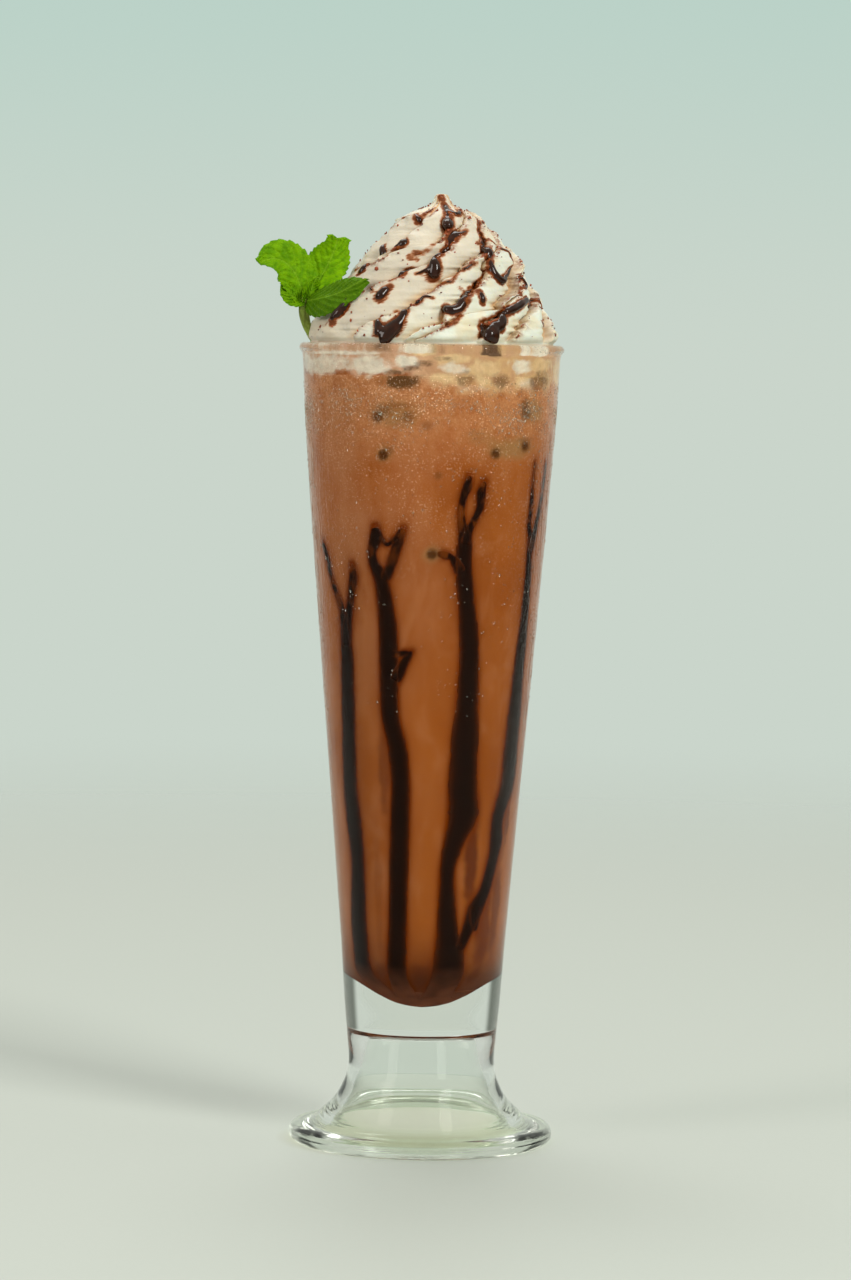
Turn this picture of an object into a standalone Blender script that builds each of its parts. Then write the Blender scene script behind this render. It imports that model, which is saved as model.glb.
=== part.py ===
"""Iced mocha in a footed pilsner glass: syrup down the wall, piped cream, sauce and a mint sprig.

The glass is turned round an upright axis that stands AXIS_X beside the origin, so that the
origin is the bottom centre of everything, the overhanging leaves included. Lengths in the
tables are millimetres and angles are degrees from the front, counted to the right.
"""

import math
import random

import bmesh
import bpy
from mathutils import Vector

MM = 0.001
AXIS_X = 6.06         # the glass axis, to the right of the origin
GAP = 0.3             # clearance between neighbours
SEGMENTS = 48         # round the glass
FILL_SEGMENTS = 32    # round the drink and the syrup pool

RIM_HEIGHT = 230.0
BOWL_FLOOR = 40.1     # inside, above the solid plug
BOWL_FLOOR_RADIUS = 3.0
BOWL_KNEE = 59.0      # where the rounded floor runs into the wall
FLOOR_HEIGHTS = (41.3, 43.6, 46.4, 48.8, 51.2, 54.6, 59.0)
FOOT_RADIUS = 38.0
HOLLOW_TOP = 32.5     # of the open hollow under the foot

DRINK_LEVEL = 221.0
POOL_LEVEL = 45.0
SYRUP_THICKNESS = 1.3
CREAM_TIP = 272.9

# height: radius
OUTER_WALL = ((58.0, 23.7), (100.0, 27.2), (150.0, 31.4), (200.0, 35.4), (226.6, 37.0))
BOWL_CURVE = ((40.1, 3.0), (41.3, 5.2), (43.0, 7.9), (46.0, 11.7), (48.7, 15.6), (50.6, 17.6), (53.5, 19.2),
              (59.0, 20.4))
STEM_FLARE = ((8.5, 28.6), (11.0, 25.8), (14.6, 23.4), (18.5, 21.7), (23.0, 21.0), (31.0, 21.6),
              (41.0, 22.5), (58.0, 23.7))
INNER_WALL = ((59.0, 20.4), (100.0, 24.3), (150.0, 28.6), (200.0, 33.0), (226.0, 34.8), (230.0, 35.2))
HOLLOW = ((0.0, 30.0), (1.5, 28.3), (5.0, 25.2), (12.0, 20.8), (22.0, 17.5), (31.2, 15.6), (32.3, 14.6))

# cream: height: greatest radius, centre shift, lobe depth, turn of the lobes in degrees
CREAM_RADIUS = ((230.4, 35.1), (231.5, 36.1), (233.0, 36.0), (236.2, 34.4), (239.6, 32.2), (243.0, 30.3),
                (246.5, 27.5), (250.0, 25.2), (253.4, 23.4), (256.8, 20.6), (260.2, 17.2), (262.0, 15.2),
                (264.0, 13.4), (266.0, 11.3), (267.6, 8.6), (268.8, 5.6), (270.0, 3.4), (271.5, 2.3), (272.9, 1.0))
CREAM_SHIFT = ((231.0, 0.0), (240.0, 0.3), (248.0, 1.2), (254.0, 2.2), (273.0, 2.2))
CREAM_DEPTH = ((230.0, 1.0), (233.0, 2.9), (245.0, 3.2), (256.0, 3.0), (262.0, 2.3), (267.0, 1.5), (271.0, 0.5))
CREAM_TURN = ((231.0, 0.0), (236.0, 13.0), (240.0, 25.0), (244.0, 38.0), (248.0, 54.0), (252.0, 73.0),
              (256.0, 96.0), (260.0, 120.0), (264.0, 140.0), (268.0, 155.0), (273.0, 163.0))
LOBE_CRESTS = (-165, -127, -89, -68, -42, -4, 25, 57, 90, 123, 157)
LOBE_STEPS = (0.0, 0.12, 0.32, 0.56, 0.80)

# syrup on the wall: angle, height, width; each name's last point meets the pool or another run
WALL_RUNS = (
    ((-67, 171, 1.6), (-60, 163, 2.6), (-52, 154, 3.6), (-51, 138, 5.2), (-55, 106, 5.8), (-52, 82, 5.4),
     (-55, 60, 6.2), (-58, 43, 6.6)),
    ((-43, 166, 1.5), (-48, 152, 2.4)),
    ((-28, 178, 1.3), (-23, 166, 3.0), (-22, 143, 5.4), (-18, 116, 5.2), (-16, 98, 5.2), (-19, 63, 5.2),
     (-22, 43, 6.8)),
    ((-13.5, 177, 1.3), (-22, 165, 2.2)),
    ((27, 190, 1.2), (21.5, 180, 1.6), (18.5, 170, 4.1), (22, 155, 4.8), (24, 131, 6.4), (25, 102, 8.8),
     (17, 84, 4.6), (18, 65, 5.6), (21, 55, 8.6), (22, 43, 9.6)),
    ((20, 193, 1.0), (16, 185, 1.3), (18, 176, 2.4)),
    ((1.7, 171, 1.2), (16, 168, 2.0)),
    ((60.5, 196, 1.5), (64, 178, 3.8), (64, 155, 4.2), (64, 125, 7.0), (63, 105, 7.4), (54, 88, 5.0),
     (48, 74, 4.4), (37, 66, 4.6), (27, 57, 3.6)),
    ((73, 195, 1.6), (65, 176, 2.6)),
)
BACK_RUNS = 3

# sauce on the cream: angle, height, width
CREAM_RUNS = (
    ((13, 268.6, 1.4), (13, 264.5, 2.8), (15, 261.0, 1.7), (4, 256.4, 1.7), (-3, 251.5, 3.2), (-3, 248.4, 1.4)),
    ((72, 265.8, 1.2), (56, 263.2, 1.5), (43, 258.2, 1.8), (39, 252.8, 1.5), (44, 248.6, 2.2), (53, 253.1, 1.3)),
    ((33, 247.4, 1.5), (26, 244.8, 2.5), (17, 242.0, 2.7), (9, 239.4, 2.6), (6, 241.0, 1.2)),
    ((58, 242.8, 1.4), (48, 239.8, 2.1), (36, 236.0, 3.0), (28, 233.2, 4.6)),
    ((-1, 242.8, 1.2), (-10, 240.3, 1.5), (-18, 235.8, 3.0), (-22, 233.0, 4.6)),
    ((-31, 241.8, 1.3), (-29, 244.8, 2.5), (-25, 247.2, 1.2), (-20, 249.8, 2.6), (-10, 250.4, 1.2)),
    ((-39, 255.9, 1.2), (-33, 257.4, 2.5), (-30, 259.2, 1.8)),
    ((-62, 257.4, 1.3), (-60, 253.2, 1.5), (-58, 248.6, 1.8)),
    ((-49, 244.0, 1.3), (-53, 239.8, 2.6), (-57, 236.2, 2.4)),
)
BACK_CREAM_RUNS = 4
FLAKES = 10

# mint: base, middle and tip of each leaf's midrib, its side directions at base and tip, half width
STEM = ((-31.2, -2.6, 223.0, 0.8), (-32.6, -2.6, 227.0, 0.8), (-33.9, -2.7, 230.6, 0.85),
        (-35.8, -2.9, 234.6, 1.15), (-36.7, -3.0, 238.6, 1.4), (-36.5, -3.0, 243.0, 1.3))    # x, y, z, radius
LEAVES = (
    ((-36.6, -3.0, 241.6), (-40.6, -3.4, 257.8), (-49.4, -6.0, 251.9), (0.95, 0.30, 0.15), (0.30, 0.50, 0.80),
     6.2, 0.25),
    ((-36.0, -2.4, 242.2), (-29.4, 0.6, 251.6), (-27.4, -0.4, 259.8), (0.8, -0.50, 0.20), (1.0, 0.25, -0.05),
     6.1, 0.62),
    ((-36.2, -4.0, 241.9), (-30.8, -17.0, 241.2), (-18.9, -23.4, 247.9), (0.15, 0.55, 0.82), (-0.1, 0.60, 0.78),
     5.2, 0.12),
    ((-36.8, -3.6, 241.6), (-40.6, -5.2, 242.2), (-43.2, -5.6, 246.2), (0.5, 0.5, 0.7), (0.8, 0.3, 0.3), 2.9, 0.12),
    ((-36.2, -3.8, 241.8), (-35.0, -6.6, 244.6), (-33.2, -6.2, 248.4), (0.9, 0.4, 0.1), (0.9, 0.4, 0.0), 2.2, 0.12),
)
LEAF_THICKNESS = 0.55


def between(table, x):
    """Value of a (x, y) table at x, smooth between its rows."""
    if x <= table[0][0]:
        return table[0][1]
    for i in range(1, len(table)):
        if x <= table[i][0]:
            x0, y0 = table[i - 1]
            x1, y1 = table[i]
            before = table[max(i - 2, 0)]
            after = table[min(i + 1, len(table) - 1)]
            m0 = (y1 - before[1]) / (x1 - before[0])
            m1 = (after[1] - y0) / (after[0] - x0)
            h, t = x1 - x0, (x - x0) / (x1 - x0)
            return (y0 * (2 * t**3 - 3 * t * t + 1) + m0 * h * (t**3 - 2 * t * t + t)
                    + y1 * (3 * t * t - 2 * t**3) + m1 * h * (t**3 - t * t))
    return table[-1][1]


def along(points, steps):
    """Evenly spread samples of a smooth curve through points of any dimension."""
    samples = []
    for k in range(steps + 1):
        t = k / steps * (len(points) - 1)
        columns = zip(*points)
        samples.append(tuple(between(tuple(enumerate(c)), t) for c in columns))
    return samples


def at(angle, radius, height, centre=0.0):
    """Point at an angle from the front, counted to the right."""
    a = math.radians(angle)
    return Vector((centre + radius * math.sin(a), -radius * math.cos(a), height))


def bowl_radius(z):
    """Radius of the bowl's inside at a height."""
    if z >= BOWL_KNEE:
        return between(INNER_WALL, z)
    return between(BOWL_CURVE, z)


def material(name, colour, roughness, alpha=1.0):
    """A plain surface material."""
    made = bpy.data.materials.new(name)
    made.use_nodes = True
    shader = made.node_tree.nodes["Principled BSDF"]
    shader.inputs["Base Color"].default_value = (*colour, 1.0)
    shader.inputs["Roughness"].default_value = roughness
    shader.inputs["Alpha"].default_value = alpha
    return made


def solid(name, points, faces, surface=None):
    """A mesh object from points in millimetres round the glass axis."""
    mesh = bpy.data.meshes.new(name)
    mesh.from_pydata([((p[0] + AXIS_X) * MM, p[1] * MM, p[2] * MM) for p in points], [], faces)
    work = bmesh.new()
    work.from_mesh(mesh)
    bmesh.ops.recalc_face_normals(work, faces=work.faces)
    work.to_mesh(mesh)
    work.free()
    if surface:
        mesh.materials.append(surface)
    made = bpy.data.objects.new(name, mesh)
    bpy.context.scene.collection.objects.link(made)
    return made


def turned(name, profile, segments, surface):
    """A solid of revolution; the profile starts and ends on the axis."""
    points = [Vector((0, 0, profile[0][1]))]
    for radius, z in profile[1:-1]:
        points += [at(360 * k / segments, radius, z) for k in range(segments)]
    points.append(Vector((0, 0, profile[-1][1])))
    last, faces = len(points) - 1, []
    rings = len(profile) - 2
    for k in range(segments):
        n = (k + 1) % segments
        faces.append((0, 1 + k, 1 + n))
        for r in range(rings - 1):
            a, b = 1 + r * segments, 1 + (r + 1) * segments
            faces.append((a + k, b + k, b + n, a + n))
        top = 1 + (rings - 1) * segments
        faces.append((top + k, last, top + n))
    return solid(name, points, faces, surface)


def tube(name, rings, surface=None):
    """A closed body through rings of equal length, its ends closed by fans."""
    points = [p for ring in rings for p in ring]
    size, faces = len(rings[0]), []
    for r in range(len(rings) - 1):
        for k in range(size):
            here, on, n = r * size, (r + 1) * size, (k + 1) % size
            faces += [(here + k, here + n, on + n), (here + k, on + n, on + k)]
    for r in (0, len(rings) - 1):
        points.append(sum(rings[r], Vector()) / size)
        centre = len(points) - 1
        faces += [(r * size + k, r * size + (k + 1) % size, centre) for k in range(size)]
    return solid(name, points, faces, surface)


def combine(body, others, operation):
    """One Boolean of a body with a group of others, which are then removed."""
    group = bpy.data.collections.new("group")
    bpy.context.scene.collection.children.link(group)
    for other in others:
        bpy.context.scene.collection.objects.unlink(other)
        group.objects.link(other)
        other.hide_render = True
        other.display_type = "WIRE"
    modifier = body.modifiers.new("combine", "BOOLEAN")
    modifier.operation = operation
    modifier.operand_type = "COLLECTION"
    modifier.collection = group
    modifier.solver = "MANIFOLD"
    bpy.context.view_layer.update()
    result = bpy.data.meshes.new_from_object(body.evaluated_get(bpy.context.evaluated_depsgraph_get()))
    body.modifiers.clear()
    body.data = result
    for other in others:
        bpy.data.objects.remove(other)
    bpy.data.collections.remove(group)
    keep_largest(result)
    return body


def keep_largest(mesh):
    """Drop the shells of sealed hollows and loose scraps, so that one closed body is left."""
    work = bmesh.new()
    work.from_mesh(mesh)
    bmesh.ops.triangulate(work, faces=work.faces)
    seen, shells = set(), []
    for first in work.faces:
        if first in seen:
            continue
        seen.add(first)
        shell, waiting = [], [first]
        while waiting:
            face = waiting.pop()
            shell.append(face)
            for edge in face.edges:
                for other in edge.link_faces:
                    if other not in seen:
                        seen.add(other)
                        waiting.append(other)
        volume = sum(f.verts[0].co.dot(f.verts[1].co.cross(f.verts[2].co)) for f in shell)
        shells.append((volume, shell))
    shells.sort(key=lambda pair: pair[0])
    spare = [face for _, shell in shells[:-1] for face in shell]
    if spare:
        bmesh.ops.delete(work, geom=spare, context="FACES")
        bmesh.ops.delete(work, geom=[v for v in work.verts if not v.link_faces], context="VERTS")
    work.to_mesh(mesh)
    work.free()


def glass_profile():
    """Radius and height from the bowl's floor, over the rim, down to the foot's hollow."""
    inside = [(0.0, BOWL_FLOOR), (BOWL_FLOOR_RADIUS, BOWL_FLOOR)]
    inside += [(bowl_radius(z), z) for z in FLOOR_HEIGHTS + (100.0, 150.0, 200.0, 226.0)]
    rim = [(35.2, 229.1), (36.4, RIM_HEIGHT), (37.5, 229.6), (FOOT_RADIUS, 228.7), (37.6, 227.6)]
    outside = [(r, z) for z, r in reversed(OUTER_WALL)] + [(r, z) for z, r in reversed(STEM_FLARE[:-1])]
    foot = [(30.7, 5.7), (36.2, 4.9), (37.7, 3.8), (FOOT_RADIUS, 2.2), (36.8, 0.0)]
    hollow = [(r, z) for z, r in HOLLOW] + [(0.0, HOLLOW_TOP)]
    return inside + rim + outside + foot + hollow


def wall_band(name, run, spare):
    """A flat ribbon of syrup that lies on the bowl's inside, grown on every side by spare."""
    steps = 3 * (len(run) - 1) // 2 + 1
    samples = along(run, steps)
    rings = []
    for k, (angle, z, width) in enumerate(samples):
        ahead, behind = samples[min(k + 1, steps)], samples[max(k - 1, 0)]
        radius = bowl_radius(z)
        run_on = Vector((math.radians(ahead[0] - behind[0]) * radius, ahead[1] - behind[1])).normalized()
        across = Vector((-run_on.y, run_on.x)) * (width / 2 + 1.6 * spare)
        past = run_on * spare * ((k == steps and z > POOL_LEVEL) - (k == 0))
        depth = min(SYRUP_THICKNESS, 0.4 + 0.35 * width) + 2.2 * spare
        ring = []
        for share, inward in ((-1, 0), (0, 0), (1, 0), (0.62, depth), (-0.62, depth)):
            move = across * share + past
            reach = bowl_radius(z + move.y) - GAP - 0.15 + spare - inward
            ring.append(at(angle + math.degrees(move.x / radius), reach, z + move.y))
        rings.append(ring)
    return tube(name, rings)


def wall_runs():
    """The runs in front, and as many thinner ones round the back by rule."""
    draw = random.Random(5)
    runs = list(WALL_RUNS)
    for k in range(BACK_RUNS):
        angle = 116 + k * 60 + draw.uniform(-6, 6)
        top = draw.uniform(158, 198)
        sway = [draw.uniform(-5, 5) for _ in range(4)]
        runs.append(((angle + sway[0], top, 1.4), (angle + sway[1], top - 24, 3.8),
                     (angle + sway[2], 112, draw.uniform(5.0, 7.5)), (angle + sway[3], 76, 5.0),
                     (angle, 43, 6.4)))
        runs.append(((angle + 11, top - 6, 1.3), (angle + sway[1], top - 24, 2.2)))
    return runs


def filling(heights):
    """Profile of what fills the bowl between the first height and the last."""
    sides = [(bowl_radius(z) - GAP - (0.1 if z > BOWL_KNEE else 0.5), z) for z in heights]
    return [(0.0, heights[0])] + sides + [(0.0, heights[-1])]


def lobe_height(angle):
    """How far a lobe stands out at an angle, 0 in a crease and 1 on a crest."""
    starts = [crest - 7.0 for crest in LOBE_CRESTS]
    angle = (angle - starts[0]) % 360
    edges = [s - starts[0] for s in starts] + [360.0]
    for low, high in zip(edges, edges[1:]):
        if angle <= high:
            t = ((angle - low) / (high - low)) ** 0.72
            return 1 - abs(2 * t - 1) ** 2.4
    return 0.0


def cream_point(angle, z, out=0.0):
    """Point on the cream's surface, or a distance outside it."""
    turn = between(CREAM_TURN, z)
    radius = between(CREAM_RADIUS, z) - between(CREAM_DEPTH, z) * (1 - lobe_height(angle - turn))
    return at(angle, radius + out, z, between(CREAM_SHIFT, z))


def cream_body(surface):
    """The piped swirl: straight inside the glass, then twisted lobes that close to a tip."""
    starts = [crest - 7.0 for crest in LOBE_CRESTS]
    angles = []
    for low, high in zip(starts, starts[1:] + [starts[0] + 360]):
        angles += [low + (high - low) * s for s in LOBE_STEPS]
    rings = []
    for z in (DRINK_LEVEL + GAP, 226.0, 229.4):
        rings.append([at(a, bowl_radius(z) - GAP - 0.15, z) for a in angles])
    heights = [230.5, 232.0] + [232.0 + 2.62 * k for k in range(1, 16)]
    for z in heights:
        turn = between(CREAM_TURN, z)
        rings.append([cream_point(a + turn, z) for a in angles])
    points = [p for ring in rings for p in ring]
    size, faces = len(angles), []
    for r in range(len(rings) - 1):
        for k in range(size):
            n = (k + 1) % size
            faces.append((r * size + k, r * size + n, (r + 1) * size + n, (r + 1) * size + k))
    for r, z, x in ((0, DRINK_LEVEL + GAP, 0.0), (len(rings) - 1, CREAM_TIP, 2.2)):
        points.append(Vector((x, 0, z)))
        faces += [(r * size + k, r * size + (k + 1) % size, len(points) - 1) for k in range(size)]
    return solid("cream", points, faces, surface)


def sauce_run(run):
    """A rounded thread of sauce lying on the cream."""
    steps = 3 * (len(run) - 1) // 2
    samples = along(run, steps)
    centres = [cream_point(a, z, 0.1) for a, z, _ in samples]
    rings = []
    for k, (angle, z, width) in enumerate(samples):
        ahead, behind = centres[min(k + 1, steps)], centres[max(k - 1, 0)]
        forward = (ahead - behind).normalized()
        outward = (at(angle, 1.0, 0.35)).normalized()
        side = forward.cross(outward).normalized()
        outward = side.cross(forward)
        thin = 0.55 if k in (0, steps) else 1.0
        ring = []
        for s in range(5):
            turn = math.radians(72 * s + 18)
            ring.append(centres[k] + side * math.cos(turn) * width / 2 * thin
                        + outward * math.sin(turn) * min(1.5, 0.35 + 0.3 * width) * thin)
        rings.append(ring)
    return tube("sauce", rings)


def cream_runs():
    """The runs in front, and more round the back by rule."""
    draw = random.Random(11)
    runs = list(CREAM_RUNS)
    for k in range(BACK_CREAM_RUNS):
        angle = 108 + k * 37 + draw.uniform(-6, 6)
        top = draw.uniform(246, 262)
        low = max(234.0, top - draw.uniform(8, 15))
        runs.append(((angle + 16, top, 1.3), (angle + 8, (top + low) / 2, 1.9), (angle, low, 3.2)))
    return runs


def flakes():
    """The larger flakes, caught on the upper side of the lobes."""
    draw = random.Random(23)
    made = []
    for _ in range(FLAKES):
        z = draw.uniform(236, 264)
        crest = draw.choice(LOBE_CRESTS) + between(CREAM_TURN, z) - 4
        centre = cream_point(crest, z, 0.15)
        size = draw.uniform(0.8, 1.3)
        tilt = draw.uniform(0, math.pi)
        a = Vector((math.cos(tilt), math.sin(tilt), 0.4)) * size
        b = Vector((-math.sin(tilt), math.cos(tilt), 0.2)) * size * 0.8
        c = Vector((0, 0, size * 0.7))
        corners = [centre + v for v in (a, b, -a, -b, c, -c)]
        sides = [(0, 1, 4), (1, 2, 4), (2, 3, 4), (3, 0, 4), (1, 0, 5), (2, 1, 5), (3, 2, 5), (0, 3, 5)]
        made.append(solid("flake", corners, sides))
    return made


def stem_rings(spare):
    """Rings round the stem's line, wider by a spare that its foot drops by too."""
    foot, above = Vector(STEM[0][:3]), Vector(STEM[1][:3])
    low = foot + (foot - above).normalized() * spare
    steps = len(STEM)
    rows = along(((*low, STEM[0][3]),) + STEM[1:], steps)
    samples = [Vector(row[:3]) for row in rows]
    rings = []
    for k, centre in enumerate(samples):
        forward = (samples[min(k + 1, steps)] - samples[max(k - 1, 0)]).normalized()
        side = forward.cross(Vector((0, 1, 0))).normalized()
        up = side.cross(forward)
        rings.append([centre + (side * math.cos(a) + up * math.sin(a)) * (rows[k][3] + spare)
                      for a in (2 * math.pi * s / 8 for s in range(8))])
    return rings


def leaf(number, base, middle, tip, side_base, side_tip, half_width, tip_share):
    """A thin wavy leaf, folded along its midrib, with a toothed edge."""
    rows, columns = (9, (-1.0, -0.55, 0.0, 0.55, 1.0)) if half_width > 3 else (5, (-1.0, 0.0, 1.0))
    base, middle, tip = Vector(base), Vector(middle), Vector(tip)
    top, bottom = [], []
    for i in range(rows + 1):
        t = i / rows
        centre = base * (1 - t) ** 2 + middle * 2 * t * (1 - t) + tip * t * t
        forward = (middle - base).lerp(tip - middle, t).normalized()
        side = Vector(side_base).lerp(Vector(side_tip), t)
        side = (side - forward * side.dot(forward)).normalized()
        normal = side.cross(forward)
        width = half_width * (0.16 + 0.84 * math.sin(math.pi * min(1.0, t * 0.94 + 0.06)) ** 0.55)
        width *= 1.0 + (0.07 if i % 2 else -0.05)
        if i == rows:
            width = half_width * tip_share
        for s in columns:
            lift = 0.22 * half_width * abs(s) + 0.25 * math.sin(9 * t + 3 * s + number)
            point = centre + side * s * width + normal * lift
            top.append(point + normal * LEAF_THICKNESS / 2)
            bottom.append(point - normal * LEAF_THICKNESS / 2)
    size, faces = len(columns), []
    shift = len(top)
    for i in range(rows):
        for k in range(size - 1):
            a, b = i * size + k, (i + 1) * size + k
            for one in ((a, b, b + 1), (a, b + 1, a + 1)):
                faces += [one, tuple(v + shift for v in reversed(one))]
    border = ([k for k in range(size)] + [i * size + size - 1 for i in range(1, rows + 1)]
              + [rows * size + k for k in range(size - 2, -1, -1)] + [i * size for i in range(rows - 1, 0, -1)])
    for a, b in zip(border, border[1:] + border[:1]):
        faces += [(a, b, b + shift), (a, b + shift, a + shift)]
    return solid("leaf", top + bottom, faces)


def build():
    for old in list(bpy.data.objects):
        bpy.data.objects.remove(old)

    turned("glass", glass_profile(), SEGMENTS, material("glass", (0.90, 0.95, 0.93), 0.03, 0.3))

    drink = turned("drink", filling((POOL_LEVEL + GAP, 49.5, 54.0, 60.0, 130.0, 200.0, DRINK_LEVEL)),
                   FILL_SEGMENTS, material("drink", (0.30, 0.12, 0.035), 0.35))
    runs = wall_runs()
    combine(drink, [wall_band("cutter", run, GAP) for run in runs], "DIFFERENCE")

    pool = turned("syrup", filling((BOWL_FLOOR + 0.4, 41.6, 43.2, POOL_LEVEL)), FILL_SEGMENTS,
                  material("syrup", (0.025, 0.008, 0.004), 0.2))
    combine(pool, [wall_band("run", run, 0.0) for run in runs], "UNION")

    cream = cream_body(material("cream", (0.88, 0.82, 0.66), 0.5))
    combine(cream, [sauce_run(run) for run in cream_runs()] + flakes(), "UNION")
    combine(cream, [tube("cutter", stem_rings(0.05 + GAP))], "DIFFERENCE")

    stem = tube("mint_sprig", stem_rings(0.0), material("mint_sprig", (0.13, 0.32, 0.03), 0.55))
    combine(stem, [leaf(k, *row) for k, row in enumerate(LEAVES)], "UNION")


build()
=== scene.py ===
import math
import random

import bmesh
import bpy
import numpy as np
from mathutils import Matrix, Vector, noise
from mathutils.bvhtree import BVHTree


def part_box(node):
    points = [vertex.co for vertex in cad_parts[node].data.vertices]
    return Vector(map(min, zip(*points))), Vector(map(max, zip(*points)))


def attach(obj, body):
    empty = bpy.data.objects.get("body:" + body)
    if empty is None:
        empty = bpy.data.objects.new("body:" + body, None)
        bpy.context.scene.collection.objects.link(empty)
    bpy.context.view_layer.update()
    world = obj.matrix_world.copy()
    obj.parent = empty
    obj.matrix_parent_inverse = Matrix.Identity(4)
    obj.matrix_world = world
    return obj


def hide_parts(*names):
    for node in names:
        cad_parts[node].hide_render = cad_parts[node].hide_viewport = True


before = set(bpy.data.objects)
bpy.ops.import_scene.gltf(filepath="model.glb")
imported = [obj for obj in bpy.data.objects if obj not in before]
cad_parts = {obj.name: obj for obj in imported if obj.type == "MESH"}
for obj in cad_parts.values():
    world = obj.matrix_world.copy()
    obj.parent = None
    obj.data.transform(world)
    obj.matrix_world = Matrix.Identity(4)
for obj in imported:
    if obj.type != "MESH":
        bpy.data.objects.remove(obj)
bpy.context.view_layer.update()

mm = 0.001
glassLow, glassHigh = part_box("glass")
axisX = (glassLow[0] + glassHigh[0]) / 2 / mm  # the glass stands beside the origin, by this many millimetres

# Lengths are millimetres round the glass axis; angles are degrees from the front, to the right.
# The tables hold rows of height and radius.
form = {
    "floor": 40.1, "knee": 59.0, "hollowTop": 32.5, "drinkLevel": 221.0, "poolLevel": 45.0,
    "creamTip": 272.9,
    "outerWall": ((58.0, 23.7), (100.0, 27.2), (150.0, 31.4), (200.0, 35.4), (226.6, 37.0)),
    "flare": ((8.5, 28.6), (11.0, 25.8), (14.6, 23.4), (18.5, 21.7), (23.0, 21.0), (31.0, 21.6),
              (41.0, 22.5), (58.0, 23.7)),
    "bowlCurve": ((40.1, 0.0), (40.22, 1.6), (40.6, 3.3), (41.3, 5.2), (43.0, 7.9), (46.0, 11.7),
                  (48.7, 15.6), (50.6, 17.6), (53.5, 19.2), (59.0, 20.4)),
    "innerWall": ((59.0, 20.4), (100.0, 24.3), (150.0, 28.6), (200.0, 33.0), (226.0, 34.8), (230.0, 35.2)),
    "hollow": ((0.0, 30.0), (1.5, 28.3), (5.0, 25.2), (12.0, 20.8), (22.0, 17.5), (31.2, 15.6)),
}


# Smooth value of a table of (x, y) rows at x
def between(table, x):
    if x <= table[0][0]:
        return table[0][1]
    for i in range(1, len(table)):
        if x <= table[i][0]:
            (x0, y0), (x1, y1) = table[i - 1], table[i]
            before, after = table[max(i - 2, 0)], table[min(i + 1, len(table) - 1)]
            m0 = (y1 - before[1]) / (x1 - before[0])
            m1 = (after[1] - y0) / (after[0] - x0)
            h, t = x1 - x0, (x - x0) / (x1 - x0)
            return (y0 * (2 * t**3 - 3 * t * t + 1) + m0 * h * (t**3 - 2 * t * t + t)
                    + y1 * (3 * t * t - 2 * t**3) + m1 * h * (t**3 - t * t))
    return table[-1][1]


# Evenly numbered samples along a row of points, smooth in every column
def along(points, steps):
    tables = [tuple(enumerate(column)) for column in zip(*points)]
    return [tuple(between(t, k / steps * (len(points) - 1)) for t in tables) for k in range(steps + 1)]


# A place given by its angle, its distance from the axis and its height
def at(angle, radius, height, centre=0.0):
    a = math.radians(angle)
    return Vector((centre + radius * math.sin(a), -radius * math.cos(a), height))


# Inner radius of the bowl at a height
def bowlRadius(z):
    if z >= form["knee"]:
        return between(form["innerWall"], z)
    return between(form["bowlCurve"], z)


def makeMesh(name, points, faces, material, smooth=True):
    mesh = bpy.data.meshes.new(name)
    mesh.from_pydata([((p[0] + axisX) * mm, p[1] * mm, p[2] * mm) for p in points], [], faces)
    if smooth:
        mesh.polygons.foreach_set("use_smooth", [True] * len(mesh.polygons))
    mesh.materials.append(material)
    mesh.update()
    made = bpy.data.objects.new(name, mesh)
    bpy.context.scene.collection.objects.link(made)
    return made


def faceOut(piece):
    work = bmesh.new()
    work.from_mesh(piece.data)
    bmesh.ops.recalc_face_normals(work, faces=work.faces)
    work.to_mesh(piece.data)
    work.free()


# A solid of revolution from a profile that starts and ends on the axis
def turned(name, profile, segments, material):
    points = [Vector((0, 0, profile[0][1]))]
    for radius, z in profile[1:-1]:
        points += [at(360 * k / segments, radius, z) for k in range(segments)]
    points.append(Vector((0, 0, profile[-1][1])))
    rings, last, faces = len(profile) - 2, len(points) - 1, []
    for k in range(segments):
        n = (k + 1) % segments
        faces.append((0, 1 + k, 1 + n))
        for r in range(rings - 1):
            a, b = 1 + r * segments, 1 + (r + 1) * segments
            faces.append((a + k, b + k, b + n, a + n))
        top = 1 + (rings - 1) * segments
        faces.append((top + k, last, top + n))
    made = makeMesh(name, points, faces, material)
    faceOut(made)
    return made


# An angle counted from -180 to 180, so that the front is 0
def facing(angle):
    return (angle + 180) % 360 - 180


# Quads between rings of points, each ring closed
def ringFaces(size, rings):
    faces = []
    for r in range(rings - 1):
        for k in range(size):
            n = (k + 1) % size
            faces.append((r * size + k, r * size + n, (r + 1) * size + n, (r + 1) * size + k))
    return faces


# The same, closed at both ends, for rings whose points begin at start
def tubeFaces(start, size, rings):
    faces = [tuple(i + start for i in f) for f in ringFaces(size, rings)]
    faces.append(tuple(start + i for i in range(size)))
    faces.append(tuple(start + (rings - 1) * size + i for i in reversed(range(size))))
    return faces


# Store up to three 0-1 masks per vertex as a colour attribute
def paint(piece, name, columns):
    layer = piece.data.color_attributes.new(name=name, type="FLOAT_COLOR", domain="POINT")
    values = np.zeros((len(piece.data.vertices), 4), dtype=np.float32)
    for k, column in enumerate(columns):
        values[:, k] = np.clip(column, 0, 1)
    values[:, 3] = 1
    layer.data.foreach_set("color", values.ravel())


def srgb(r, g, b):
    return tuple((c / 255 / 12.92 if c / 255 <= 0.04045 else ((c / 255 + 0.055) / 1.055) ** 2.4)
                 for c in (r, g, b)) + (1.0,)


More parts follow.
